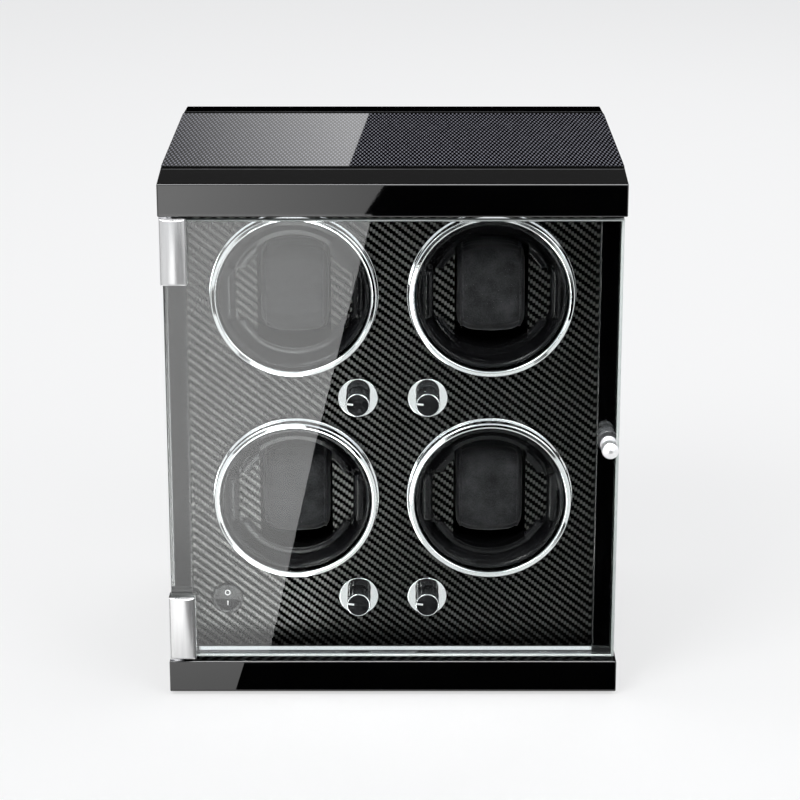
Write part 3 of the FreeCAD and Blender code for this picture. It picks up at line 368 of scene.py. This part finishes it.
# painted shade: a matte black with almost no reflection that stands in for the shaded groove
# between the lid's inlay and its border
paintedShadeBlack = grained("bandEnamel", ((0.0006, 0.0006, 0.0006), (0.0012, 0.0012, 0.0012)),
                    (0.40, 0.50), 200.0, Specular_IOR_Level=0.02)
paint = grained("whitePaint", ((0.72, 0.72, 0.72), (0.82, 0.82, 0.81)),
                (0.40, 0.52), 300.0, (0.1, 2500.0))

# uneven: noise scale, detail, lowest and highest share
panelWeave = {"cellAcross": 1.62, "cellUp": 1.28, "repeat": 4.0, "fibres": 5.0, "streak": 0.1,
              "shade": (0.35, 0.9), "uneven": (90.0, 2.0, 0.85, 1.15),
              "relief": 0.35, "depth": 0.1, "metal": 1.0, "specular": 0.0, "rough": (0.6, 0.32),
              "light": (0.125, 0.125, 0.121), "dark": (0.0012, 0.0012, 0.0012)}
lidWeave = {"cellAcross": 1.2, "cellUp": 5.0, "edge": 0.12, "bias": 0.27,
            "coat": 1.0, "coatRough": 0.02, "uneven": (150.0, 3.0, 0.75, 1.15),
            "relief": 0.12, "depth": 0.05, "metal": 0.25, "specular": 0.0, "rough": (0.6, 0.30),
            "light": (0.30, 0.30, 0.345), "dark": (0.001, 0.001, 0.0015)}
panelCarbon = twillWoven("panelCarbon", panelWeave)
lidCarbon = plainWoven("lidCarbon", lidWeave)

glassFilm = {"scale": 14.0, "span": (0.35, 0.75), "rough": (0.0, 0.012),
             "tints": ((0.955, 0.985, 0.975), (0.985, 1.0, 0.995))}


def doorGlassMaterial():
    # clear glass with a hardly visible film
    size = glassFilm
    material, tree, shader = finish("clearGlass", IOR=1.5, Transmission_Weight=1.0)
    film = noise(tree, coordinates(tree), size["scale"], 3.0)
    feed(tree, shader, Base_Color=mixColour(tree, film, *size["tints"]),
         Roughness=ramp(tree, film, *size["span"], *size["rough"]))
    return material


glass = doorGlassMaterial()

spunFace = {"rings": 900.0, "rough": (0.50, 0.58), "relief": 0.12, "depth": 0.02,
            "tones": ((0.020, 0.020, 0.021), (0.034, 0.034, 0.036))}


def spunMaterial():
    # turned face: fine rings along v of the piece's own UV, and a shine that follows them
    size = spunFace
    material, tree, shader = finish("spunBlack", Metallic=1.0, Anisotropic=1.0,
                                    Anisotropic_Rotation=0.25)
    rings = sine(tree, axes(tree, "UV")["Y"], size["rings"])
    around = tree.nodes.new("ShaderNodeTangent")
    around.direction_type = "UV_MAP"
    around.uv_map = "surface"
    feed(tree, shader, Base_Color=mixColour(tree, ramp(tree, rings, -1.0, 1.0), *size["tones"]),
         Roughness=ramp(tree, rings, -1.0, 1.0, *size["rough"]),
         Normal=bump(tree, rings, size["relief"], size["depth"] * mm), Tangent=around.outputs[0])
    return material


spunBlack = spunMaterial()

suedeNap = {"nap": 1400.0, "stroke": 95.0, "share": 0.5, "span": (0.35, 0.65),
            "rough": (0.82, 0.96), "relief": 0.5, "depth": 0.25,
            "tones": ((0.006, 0.006, 0.0065), (0.034, 0.034, 0.036))}


def suedeMaterial():
    # short nap: tone and height from two noises, and a soft sheen
    size = suedeNap
    material, tree, shader = finish("blackSuede", Sheen_Weight=0.5, Sheen_Roughness=0.4,
                                    Sheen_Tint=(0.32, 0.32, 0.33, 1), Specular_IOR_Level=0.12)
    place = coordinates(tree)
    nap = noise(tree, place, size["nap"], 3.0)
    stroke = noise(tree, place, size["stroke"], 3.0)
    tone = calc(tree, "ADD", calc(tree, "MULTIPLY", nap, size["share"]),
                calc(tree, "MULTIPLY", stroke, 1 - size["share"]))
    feed(tree, shader, Base_Color=mixColour(tree, ramp(tree, tone, *size["span"]), *size["tones"]),
         Roughness=ramp(tree, nap, *noiseSpan, *size["rough"]),
         Normal=bump(tree, nap, size["relief"], size["depth"] * mm))
    return material


suede = suedeMaterial()

finishOf = {
    lacquer: ["base_plinth", "top_cap", "left_side_wall", "right_side_wall"],
    backBoard: ["rear_cover"],
    panelCarbon: ["front_panel"] + [f"rotor_face_{s}" for s in stations],
    lidCarbon: ["top_inlay"],
    softChrome: ["door_knob"],
    chrome: ["panel_trim_strip", "knob_plates"] + [f"bezel_ring_{s}" for s in stations],
    satinChrome: ["hinge_clamp_upper", "hinge_clamp_lower"],
    glossBlack: ["switch_body", "power_rocker"] + [f"rotor_drum_{s}" for s in stations],
    glass: ["door_glass"],
    acetal: [f"{part}_{s}" for s in stations for part in ("rotor_gear", "motor_pinion")],
    steel: ["rear_cover_screws", "drive_screws", "pivot_pins", "pivot_sockets", "clamp_screws",
            "knob_strike", "door_magnet"],
    plateMetal: ["drive_plate", "plate_posts", "gear_motors"],
    brass: ["axle_bushes"],
    rubber: ["rubber_feet"],
    leadCover: ["wiring_loom"],
    boardCoat: ["control_board"],
    caseBlack: ["rotary_switches", "board_pillars", "power_jack"],
}
for material, names in finishOf.items():
    for node in names:
        dress(node, material)
nodes["door_glass"].visible_shadow = False
print("finishes on the CAD nodes")


# selector knobs

selectorKnob = {"radius": 6.9, "clearance": 0.3, "segments": 168,
                "capRadius": 6.3, "capSink": 0.25, "capDish": 0.10,
                "rimStep": 0.1, "rimRound": 0.45, "rimStart": 0.02,
                "sideStart": 0.9, "sideLoss": 1.2, "waist": 0.08, "waistPower": 1.5,
                "footStep": 0.05, "flutes": 14, "fluteDepth": 0.5, "fluteFade": 0.3,
                "pointerStart": 2.6, "pointerEnd": 6.1, "pointerWidth": 1.1,
                "pointerProud": 0.08, "pointerDroop": 0.12, "pointerTurn": 7.0}


def knobProfile(length):
    # (radius, depth) from the cap's middle outwards and back: sunk cap, bright rim, waisted side,
    # closed back; band is the material of each row and grip the share of the flutes on it
    size = selectorKnob
    t = np.linspace(0, 1, 12)
    cap = np.stack([size["capRadius"] * t, size["capSink"] - size["capDish"] * t ** 2], axis=1)
    arc = np.linspace(0, math.pi / 2, 7)
    rim = np.stack([size["capRadius"] + size["rimStep"] + size["rimRound"] * np.sin(arc),
                    size["rimStart"] + size["rimRound"] * (1 - np.cos(arc))], axis=1)
    down = np.linspace(0, 1, 16)
    bow = np.sin(math.pi * down)
    side = np.stack([size["radius"] - size["waist"] * bow ** size["waistPower"],
                     size["sideStart"] + (length - size["sideLoss"]) * down], axis=1)
    foot = np.array([[size["radius"] - size["footStep"], length], [0.0, length]])
    profile = np.concatenate([cap, rim, side, foot])
    band = np.repeat([0, 1, 2], [len(cap) - 1, len(rim), len(side) + len(foot)])
    grip = np.concatenate([np.zeros(len(cap) + len(rim)), bow ** size["fluteFade"],
                           np.zeros(len(foot))])
    return profile * mm, band, grip


def fluted(grid, place, grip):
    # the grip's radius falls by depth * (1 - cos(n a)) / 2, n flutes round it, fading out at both
    # of its ends
    size = selectorKnob
    out = grid - place
    angle = np.arctan2(out[..., 2], out[..., 0])
    wave = 1 - np.cos(size["flutes"] * (angle - math.pi / 2))
    fall = size["fluteDepth"] * wave / 2 * grip[:, None]
    out[..., 0] -= fall * mm * np.cos(angle)
    out[..., 2] -= fall * mm * np.sin(angle)
    return out + place


def pointerGrid(place):
    # a flat bar on the cap, (along, across) from near the middle to the rim, turned a little;
    # its long edges droop into the cap
    size = selectorKnob
    along = np.linspace(size["pointerStart"], size["pointerEnd"], 6)[:, None]
    across = np.linspace(-0.5, 0.5, 5)[None, :] * size["pointerWidth"]
    top = size["capSink"] - size["capDish"] - size["pointerProud"]
    droop = size["pointerDroop"] * np.array([1, 0, 0, 0, 1])
    turn = math.radians(size["pointerTurn"])
    points = np.empty((along.shape[0], across.shape[1], 3))
    points[..., 0] = place[0] + (across * math.sin(turn) - along * math.cos(turn)) * mm
    points[..., 1] = place[1] + (top + droop) * mm
    points[..., 2] = place[2] + (across * math.cos(turn) + along * math.sin(turn)) * mm
    return points


segments = selectorKnob["segments"]
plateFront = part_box("knob_plates")[0][1]
for s in stations:
    node = f"selector_knob_{s}"
    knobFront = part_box(node)[0][1]
    axis = jointPlace[f"knob_turn_{s}"]
    front = np.array([axis[0], knobFront, axis[2]])
    profile, band, grip = knobProfile((plateFront - knobFront) / mm - selectorKnob["clearance"])
    grid = fluted(turnedSurface(profile, front, segments), front, grip)
    knob = surfaceObject(f"knob.{s}", [grid], [spunBlack, chrome, knobBlack],
                         np.repeat(band, segments))
    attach(knob, f"knob_{s}")
    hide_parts(node)
    pointer = surfaceObject(f"knobPointer.{s}", [pointerGrid(front)], [paint])
    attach(pointer, f"knob_{s}")
print("selector knobs turned")


# rocker marks

rockerMarks = {"tilt": 8.0, "reach": 3.6, "dish": 32.0, "sink": 1.0, "rise": 3.1,
               "ringOuter": 1.65, "ringInner": 1.15,
               "barHalfWidth": 0.28, "barHalfHeight": 1.35, "proud": 0.05}


def onRocker(across, up):
    # a point on the rocker's dished face, sqrt(dish^2 - up^2), leaned with the rocker and put at
    # its axis
    size = rockerMarks
    arch = np.sqrt(size["dish"] ** 2 - up ** 2)
    depth = arch - size["reach"] - size["dish"] + size["sink"] - size["proud"]
    lean = math.radians(-size["tilt"])
    points = np.empty(across.shape + (3,))
    points[..., 0] = across
    points[..., 1] = depth * math.cos(lean) - up * math.sin(lean)
    points[..., 2] = depth * math.sin(lean) + up * math.cos(lean)
    return points * mm + jointPlace["rocker_tip"]


angle = np.linspace(0, 2 * math.pi, 49)
radius = np.linspace(rockerMarks["ringInner"], rockerMarks["ringOuter"], 4)[:, None]
ring = onRocker(radius * np.cos(angle), rockerMarks["rise"] + radius * np.sin(angle))
u, v = np.meshgrid(np.linspace(-1, 1, 4), np.linspace(-1, 1, 8))
bar = onRocker(u * rockerMarks["barHalfWidth"],
               v * rockerMarks["barHalfHeight"] - rockerMarks["rise"])
marks = surfaceObject("rockerMarks", [ring, bar], [paint])
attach(marks, "rocker")
print("rocker marked")


# watch pillows

pillowCloth = {"shrink": 0.96, "merge": 0.01, "voxel": 2.2, "mass": 0.05, "pressure": 4.0,
               "steps": 20, "cap": 2.2, "seam": 0.86, "seamBand": 0.09, "seamBlur": 0.07,
               "pinch": 0.13, "pinchPower": 3.5,
               "gather": 0.75, "gathers": 23, "gatherReach": 6.5,
               "sway": 1.6, "sways": 3, "swayStart": 0.7, "swayOtherSide": 0.9,
               "pipe": 0.9, "pipeProud": 0.6}


def gathered(points):
    # each section shrinks by pinch * |u|^power towards the seams, u across the pillow from -1 to
    # 1, and shallow gathers gather * sin(n a + sway) run out from each seam and fade away from it
    size = pillowCloth
    half = np.abs(points[:, 0]).max()
    u = np.abs(points[:, 0]) / half
    angle = np.arctan2(points[:, 2], points[:, 1])
    reach = np.linalg.norm(points[:, 1:], axis=1)
    fade = np.exp(-half * np.abs(size["seam"] - u) / (size["gatherReach"] * mm))
    fade *= u < size["seam"]
    sway = size["sway"] * np.sin(size["sways"] * angle + size["swayStart"])
    sway += np.where(points[:, 0] > 0, size["swayOtherSide"], 0.0)
    ripple = size["gather"] * mm * (np.sin(size["gathers"] * angle + sway) - 1) * fade
    scale = 1 - size["pinch"] * u ** size["pinchPower"]
    scale *= 1 + ripple / np.maximum(reach, 1e-6)
    return np.column_stack([points[:, 0], points[:, 1:] * scale[:, None]])


def seamLoop(points, side, count=120):
    # the pillow's own outline at the seam: its reach by angle, smoothed, and the piping's share
    # outside it
    size = pillowCloth
    half = np.abs(points[:, 0]).max()
    close = np.abs(points[:, 0] * side / half - size["seam"]) < size["seamBand"]
    angle = np.arctan2(points[close, 2], points[close, 1])
    reach = np.linalg.norm(points[close, 1:], axis=1)
    a = np.linspace(-math.pi, math.pi, count, endpoint=False)
    apart = np.angle(np.exp(1j * (a[:, None] - angle)))
    weight = np.exp(-(apart / size["seamBlur"]) ** 2)
    outline = weight @ reach / weight.sum(axis=1)
    outline += (2 * size["pipeProud"] - 1) * size["pipe"] * mm
    across = np.full(count, side * half * size["seam"])
    return np.stack([across, outline * np.cos(a), outline * np.sin(a)], axis=1)


def cornersOf(mesh):
    co = np.empty(len(mesh.vertices) * 3)
    mesh.vertices.foreach_get("co", co)
    return co.reshape(-1, 3)


def settled(thing):
    # the mesh that the modifiers make of the object, which then lets go of them
    graph = bpy.context.evaluated_depsgraph_get()
    mesh = bpy.data.meshes.new_from_object(thing.evaluated_get(graph))
    thing.modifiers.clear()
    return mesh


def inflate(thing):
    # cloth pinned beyond its seams and blown up, with each corner's move capped
    size = pillowCloth
    start = cornersOf(thing.data)
    beyond = np.abs(start[:, 0]) > np.abs(start[:, 0]).max() * size["seam"]
    pins = thing.vertex_groups.new(name="seam")
    pins.add(np.nonzero(beyond)[0].tolist(), 1.0, "REPLACE")
    cloth = thing.modifiers.new("swell", "CLOTH")
    cloth.settings.use_pressure = True
    cloth.settings.uniform_pressure_force = size["pressure"]
    cloth.settings.effector_weights.gravity = 0
    cloth.settings.vertex_group_mass = "seam"
    cloth.settings.mass = size["mass"]
    cloth.point_cache.frame_end = size["steps"]
    for step in range(1, size["steps"] + 1):
        scene.frame_set(step)
    shift = cornersOf(settled(thing)) - start
    length = np.linalg.norm(shift, axis=1, keepdims=True)
    shift *= np.minimum(1.0, size["cap"] * mm / np.maximum(length, 1e-9))
    thing.data.vertices.foreach_set("co", (start + shift).ravel())
    scene.frame_set(1)


def swollenPillow(node):
    # the CAD cushion copied, drawn in, remeshed, inflated and gathered
    size = pillowCloth
    source = nodes[node].data
    co = cornersOf(source)
    middle = (co.min(axis=0) + co.max(axis=0)) / 2
    mesh = source.copy()
    mesh.vertices.foreach_set("co", ((co - middle) * size["shrink"]).ravel())
    mergeCorners(mesh, size["merge"] * mm)
    thing = placed("pillowWork", mesh)
    remesh = thing.modifiers.new("voxels", "REMESH")
    remesh.mode = "VOXEL"
    remesh.voxel_size = size["voxel"] * mm
    thing.data = settled(thing)
    inflate(thing)
    points = gathered(cornersOf(thing.data))
    faces = np.empty(len(thing.data.loops), dtype=np.int32)
    thing.data.loops.foreach_get("vertex_index", faces)
    bpy.data.objects.remove(thing)
    return points, faces.reshape(-1, 4)


pillowPoints, pillowFaces = swollenPillow("watch_pillow_upper_left")
print("pillow swollen to", (np.ptp(pillowPoints, axis=0) / mm).round(1).tolist())
for s in stations:
    node = f"watch_pillow_{s}"
    low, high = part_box(node)
    middle = (np.array(low) + np.array(high)) / 2
    mesh = bpy.data.meshes.new(f"pillow.{s}")
    mesh.from_pydata((pillowPoints + middle).tolist(), [], pillowFaces.tolist())
    mesh.materials.append(suede)
    shadeSmooth(mesh)
    pillow = placed(f"pillow.{s}", mesh)
    smooth = pillow.modifiers.new("smooth", "SUBSURF")
    smooth.levels = smooth.render_levels = 1
    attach(pillow, f"rotor_{s}")
    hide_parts(node)
    loops = [roundTube(seamLoop(pillowPoints, side) + middle, pillowCloth["pipe"] * mm)
             for side in (-1, 1)]
    piping = surfaceObject(f"pillowPiping.{s}", loops, [suede])
    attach(piping, f"rotor_{s}")
print("pillows placed")


# ground edge of the door glass

glassEdge = {"front": 1.5, "hingeSide": 0.1, "head": 0.5, "foot": 0.12,
             "arris": 0.8, "proud": 0.03, "sunk": 0.06}
glassLow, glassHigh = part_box("door_glass")


def glassEdgeGrid():
    # a U section (inset s, depth d) carried round the pane; each corner is the pane's rectangle
    # drawn in by s, by less at the hinge side, the head and the foot
    size = glassEdge
    thick = (glassHigh[1] - glassLow[1]) / mm
    lip, sunk, arris, proud = size["front"], size["sunk"], size["arris"], size["proud"]
    arc = np.linspace(0, math.pi / 2, 5)
    r = arris + proud
    turnIn, turnBack = arris - r * np.sin(arc), arris - r * np.cos(arc)
    front = np.stack([turnIn, turnBack], axis=1)
    rear = np.stack([turnIn[::-1], thick - turnBack[::-1]], axis=1)
    outer = np.concatenate([[[lip, -proud]], front, rear, [[lip, thick + proud]]])
    inner = np.array([[lip, thick - sunk], [arris + sunk, thick - sunk], [sunk, thick - arris],
                      [sunk, arris], [arris + sunk, sunk], [lip, sunk]])
    section = np.concatenate([outer, inner, outer[:1]])
    inset, depth = section[:, 0], section[:, 1]
    left = glassLow[0] + np.minimum(inset, size["hingeSide"]) * mm
    right = glassHigh[0] - inset * mm
    low = glassLow[2] + np.minimum(inset, size["foot"]) * mm
    high = glassHigh[2] - np.minimum(inset, size["head"]) * mm
    points = np.empty((5, len(section), 3))
    points[..., 0] = np.stack([left, right, right, left, left])
    points[..., 1] = glassLow[1] + depth * mm
    points[..., 2] = np.stack([low, low, high, high, low])
    return points


edge = surfaceObject("glassEdge", [glassEdgeGrid()], [groundGlass])
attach(edge, "door")
print("glass edge ground")


# crowned covers on the hinge clamps

clampCover = {"crown": 2.0, "margin": 0.35, "end": 0.9, "sunk": 0.3,
              "crownSteps": 25, "backSteps": 9, "endSteps": 8}


def clampCoverGrid(node):
    # section: crown * (1 - u^2) over a flat back, carried up the clamp; its thickness falls to
    # nothing at both ends
    size = clampCover
    low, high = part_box(node)
    half = (high[0] - low[0]) / 2 - size["margin"] * mm
    tall = (high[2] - low[2]) / 2 - size["margin"] * mm
    over = np.linspace(-1, 1, size["crownSteps"])
    back = np.linspace(1, -1, size["backSteps"])[1:]
    u = np.concatenate([over, back])
    lift = np.concatenate([size["crown"] * (1 - over ** 2), np.full(len(back), -size["sunk"])])
    lift[[0, len(over) - 1, -1]] = 0.0
    ramped = np.linspace(0, 1, size["endSteps"])
    rise = size["end"] * mm * ramped
    z = np.concatenate([-tall + rise, tall - rise[::-1]])
    share = np.sqrt(np.clip(1 - (1 - ramped) ** 2, 0, 1))
    share = np.concatenate([share, share[::-1]])
    points = np.empty((len(z), len(u), 3))
    points[..., 0] = (low[0] + high[0]) / 2 + half * u
    points[..., 1] = low[1] - share[:, None] * lift * mm
    points[..., 2] = ((low[2] + high[2]) / 2 + z)[:, None]
    return points


for end in ("upper", "lower"):
    cover = surfaceObject(f"clampCover.{end}", [clampCoverGrid(f"hinge_clamp_{end}")],
                          [satinChrome])
    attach(cover, "door")
print("clamps crowned")


# painted highlight lines and painted shade bands beside the lid's inlay: flat grey lines stand in
# for the lacquer border's edge highlight, matte black bands for the shaded groove next to the
# inlay

lidLines = {"ahead": 5.6, "behind": 7.5, "width": 1.5, "height": 0.1}
# the black bands are painted shade along the inlay's front and rear edges
lidBands = {"ahead": 2.4, "behind": 3.2, "width": 4.4, "height": 0.05}
lidSlope = {"front": 3.5 / 32.0, "rear": 1.6 / 32.0, "inset": 0.9}
inlayLow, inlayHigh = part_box("top_inlay")
capLow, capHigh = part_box("top_cap")


def lidStrip(y, offset, width, height):
    # a low arched strip across the sloping lid: x along it, angle t over its width
    inset = lidSlope["inset"] * mm
    x = np.linspace(capLow[0] + inset, capHigh[0] - inset, 24)
    t = np.linspace(0, math.pi, 7)
    points = np.empty((len(x), len(t), 3))
    points[..., 0] = x[:, None]
    points[..., 1] = y + width * mm / 2 * np.cos(t)
    away = offset + np.sign(y) * width / 2 * np.cos(t)
    slope = lidSlope["rear"] if y > 0 else lidSlope["front"]
    points[..., 2] = inlayHigh[2] - away * slope * mm + height * mm * np.sin(t)
    return points


def lidStrips(name, size, material):
    # one strip in front of the inlay and one behind it
    shape = size["width"], size["height"]
    front = lidStrip(inlayLow[1] - size["ahead"] * mm, size["ahead"], *shape)
    rear = lidStrip(inlayHigh[1] + size["behind"] * mm, size["behind"], *shape)
    strips = surfaceObject(name, [front, rear], [material])
    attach(strips, "cabinet")


lidStrips("lidLines", lidLines, paintedHighlightGrey)
lidStrips("lidBands", lidBands, paintedShadeBlack)
print("lid lines laid")


# stage, camera and light

floorSet = {"half": 8.0, "colour": (0.82, 0.82, 0.82), "dim": 0.985, "cloud": 3.0, "white": 0.6}
stageCards = {
    "height": 1.5, "doorRise": 1.0,  # above the floor; the cards for the door lie higher still
    "facing": (0.53, 0.60),          # a shallow card fades in over this slant of the ray
    "glassFaces": 2.5,               # more faces of glass than this are in and out of the door
    "bright": 2.6, "cap": 2.1, "panel": 6.5, "soft": 14.0, "lid": 0.85, "border": 0.05,
    "line": [(-92.0, -107.5), (-89.0, -152.5), (-75.0, -158.0), (-59.0, -580.0),
             (-25.0, -1326.0), (-25.0, -1335.0)],
    "capLine": [(-33.0, -1335.0), (-10.0, -1500.0)],
    "left": [(-330.0, -107.5), (-410.0, -1335.0), (-420.0, -1500.0)],
    "right": [(142.0, -107.5), (146.0, -160.0), (420.0, -500.0), (800.0, -1500.0)],
    "softBox": [(-1200, -300, 2000), (1200, -300, 2000), (1200, -900, 1800), (-1200, -900, 1800)],
    "lidDepth": 900,
}
# shading: axis, where it starts and ends, and the share of the glow at both
veilShading = [("Y", -420.0, -110.0, 1.0, 0.54), ("X", -230.0, -60.0, 1.0, 0.84)]
capShading = [("X", -240.0, -25.0, 1.0, 0.56)]
lidShading = [("X", -40.0, -214.0, 1.0, 0.16)]
mirrorRays = ("glossy", "transmission")


def stageSheet(name, outline, material, seenBy=None):
    # a flat stage sheet; a card is seen only by the rays named
    mesh = bpy.data.meshes.new(name)
    mesh.from_pydata(outline, [], [list(range(len(outline)))])
    mesh.materials.append(material)
    thing = placed(name, mesh)
    if seenBy:
        for kind in ("camera", "diffuse", "glossy", "transmission", "shadow"):
            setattr(thing, f"visible_{kind}", kind in seenBy)


def seenRay(tree):
    # 1 for camera, glossy and transmission rays, 0 for the diffuse rays that light the object
    path = tree.nodes.new("ShaderNodeLightPath").outputs
    mirrored = calc(tree, "MAXIMUM", path["Is Glossy Ray"], path["Is Transmission Ray"])
    return calc(tree, "MAXIMUM", path["Is Camera Ray"], mirrored)


def mixShader(tree, share, first, second):
    node = tree.nodes.new("ShaderNodeMixShader")
    for i, value in enumerate((share, first, second)):
        link(tree, value, node.inputs[i])
    return node.outputs[0]


def floorMaterial():
    # lit floor with its shadow, and a share of plain white where it is seen or mirrored
    material, tree, shader = finish("paleFloor", Roughness=0.9, Specular_IOR_Level=0.1)
    cloud = noise(tree, coordinates(tree), floorSet["cloud"])
    bright = floorSet["colour"]
    dim = tuple(c * floorSet["dim"] for c in bright)
    feed(tree, shader, Base_Color=mixColour(tree, cloud, dim, bright))
    glow = tree.nodes.new("ShaderNodeEmission")
    share = calc(tree, "MULTIPLY", seenRay(tree), floorSet["white"])
    surface = mixShader(tree, share, shader.outputs[0], glow.outputs[0])
    feed(tree, tree.nodes["Material Output"], Surface=surface)
    return material


def glowMaterial(name, strength, shading=(), shallow=False, throughDoor=None):
    # a card's glow, shaded by where on the card; a shallow card shows only to low rays, so steep
    # ones meet the floor; throughDoor: True shows it only to rays that were in and out through
    # the glass, False only to the others
    material = bpy.data.materials.new(name)
    material.use_nodes = True
    tree = material.node_tree
    tree.nodes.remove(tree.nodes["Principled BSDF"])
    glow = tree.nodes.new("ShaderNodeEmission")
    level = strength
    place = axes(tree) if shading else None
    for axis, start, end, low, high in shading:
        share = ramp(tree, place[axis], start * mm, end * mm, low, high)
        level = calc(tree, "MULTIPLY", level, share)
    link(tree, level, glow.inputs["Strength"])
    surface = glow.outputs[0]
    if shallow or throughDoor is not None:
        shown = 1.0
        if shallow:
            facing = tree.nodes.new("ShaderNodeLayerWeight")
            facing.inputs["Blend"].default_value = 0.5
            shown = ramp(tree, facing.outputs["Facing"], *stageCards["facing"])
        if throughDoor is not None:
            path = tree.nodes.new("ShaderNodeLightPath")
            faces = path.outputs["Transmission Depth"]
            side = "GREATER_THAN" if throughDoor else "LESS_THAN"
            passed = calc(tree, side, faces, stageCards["glassFaces"])
            shown = calc(tree, "MULTIPLY", shown, passed)
        clear = tree.nodes.new("ShaderNodeBsdfTransparent")
        surface = mixShader(tree, shown, clear.outputs[0], surface)
    feed(tree, tree.nodes["Material Output"], Surface=surface)
    return material


def onFloor(points, rise=0.0):
    return [(x * mm, y * mm, (stageCards["height"] + rise) * mm) for x, y in points]


half = floorSet["half"]
stageSheet("floor", [(-half, -half, 0), (half, -half, 0), (half, half, 0), (-half, half, 0)],
           floorMaterial())

# cards that the lacquer and the outside of the glass mirror: bright left of the line, dark right
line, capLine, left = stageCards["line"], stageCards["capLine"], stageCards["left"]
floorCards = [
    ("brightCard", line + left[1::-1], stageCards["bright"], veilShading),
    ("capCard", capLine + left[:0:-1], stageCards["cap"], capShading),
    ("darkFlag", (line + capLine)[::-1] + stageCards["right"], 0.0, ()),
]
for name, outline, strength, shading in floorCards:
    glow = glowMaterial(name, strength, shading, shallow=True, throughDoor=False)
    stageSheet(name, onFloor(outline), glow, mirrorRays)

# cards that what stands behind the door mirrors through the glass
behindDoor = [
    ("panelCard", [(-119, -107.5), (-45, -107.5), (-70, -1500), (-222, -1500)],
     stageCards["panel"], False),
    ("farFlag", [(-57, -720), (330, -720), (440, -1500), (1100, -6000), (-1100, -6000),
                 (-420, -1502), (-69, -1502)], 0.0, True),
    ("leftFlag", [(-170, -765), (-330, -765), (-420, -1500), (-224, -1500)], 0.0, True),
    ("leftWallFlag", [(-142, -107.5), (-120, -107.5), (-223, -1500), (-265, -1500)], 0.0, True),
    ("rightWallFlag", [(118, -107.5), (140, -107.5), (264, -1500), (222, -1500)], 0.0, True),
]
for name, outline, strength, shallow in behindDoor:
    glow = glowMaterial(name, strength, shallow=shallow, throughDoor=True)
    stageSheet(name, onFloor(outline, stageCards["doorRise"]), glow, mirrorRays)
stageSheet("softBox", [(x * mm, y * mm, z * mm) for x, y, z in stageCards["softBox"]],
           glowMaterial("softBox", stageCards["soft"], throughDoor=False), mirrorRays)

# upright cards behind the box, which the lid mirrors
lidGlow = glowMaterial("lidGlow", stageCards["lid"], lidShading)
lidDark = glowMaterial("lidDark", 0.0)
borderGlow = glowMaterial("borderGlow", stageCards["border"])
lidCards = [
    ("lidBright", [(-24, 462), (-54, 540), (-520, 540), (-520, 462)], lidGlow),
    ("lidFlag", [(-24, 462), (-54, 540), (1500, 540), (1500, 462)], lidDark),
    ("borderFlag", [(-1500, 541), (1500, 541), (1500, 2600), (-1500, 2600)], borderGlow),
    ("rearFlag", [(-900, 120), (900, 120), (900, 461), (-900, 461)], lidDark),
]
for name, outline, material in lidCards:
    upright = [(x * mm, stageCards["lidDepth"] * mm, z * mm) for x, z in outline]
    stageSheet(name, upright, material, mirrorRays)

cameraSet = {"aim": (4.1, 6.5, 146.2), "tilt": 17.1, "distance": 1589.0, "lens": 117.7,
             "sensor": 36.0}
tilt = math.radians(cameraSet["tilt"])
aim = np.array(cameraSet["aim"]) * mm
away = np.array([0, -math.cos(tilt), math.sin(tilt)]) * cameraSet["distance"] * mm
cameraData = bpy.data.cameras.new("camera")
cameraData.lens = cameraSet["lens"]
cameraData.sensor_width = cameraSet["sensor"]
camera = placed("camera", cameraData)
camera.location = (aim + away).tolist()
camera.rotation_euler = (math.pi / 2 - tilt, 0, 0)
scene.camera = camera

# lamps in metres and watts, all turned to the middle of the box
lampTarget = (0, 0, 0.15)
lamps = {"keyLamp": {"place": (-1.1, -1.4, 1.9), "size": 1.2, "power": 28.0},
         "fillLamp": {"place": (1.3, -1.2, 1.3), "size": 1.4, "power": 12.0},
         "rearLamp": {"place": (0.4, 1.6, 1.8), "size": 1.4, "power": 12.0}}
sky = {"colour": (0.94, 0.96, 1.0, 1), "lighting": 0.55, "seen": 1.0}


def softLamp(name, place, size, power):
    data = bpy.data.lights.new(name, "AREA")
    data.shape = "SQUARE"
    data.size = size
    data.energy = power
    lamp = placed(name, data)
    place, target = np.array(place), np.array(lampTarget)
    way = (target - place) / np.linalg.norm(target - place)
    pitch = math.atan2(math.hypot(way[0], way[1]), -way[2])
    lamp.location = place.tolist()
    lamp.rotation_euler = (pitch, 0, math.atan2(way[1], way[0]) - math.pi / 2)


for name, lamp in lamps.items():
    softLamp(name, **lamp)
world = bpy.data.worlds.new("studio")
scene.world = world
world.use_nodes = True
tree = world.node_tree
background = tree.nodes["Background"]
background.inputs["Color"].default_value = sky["colour"]
feed(tree, background, Strength=ramp(tree, seenRay(tree), 0.0, 1.0, sky["lighting"], sky["seen"]))
print("stage, camera and lamps set")
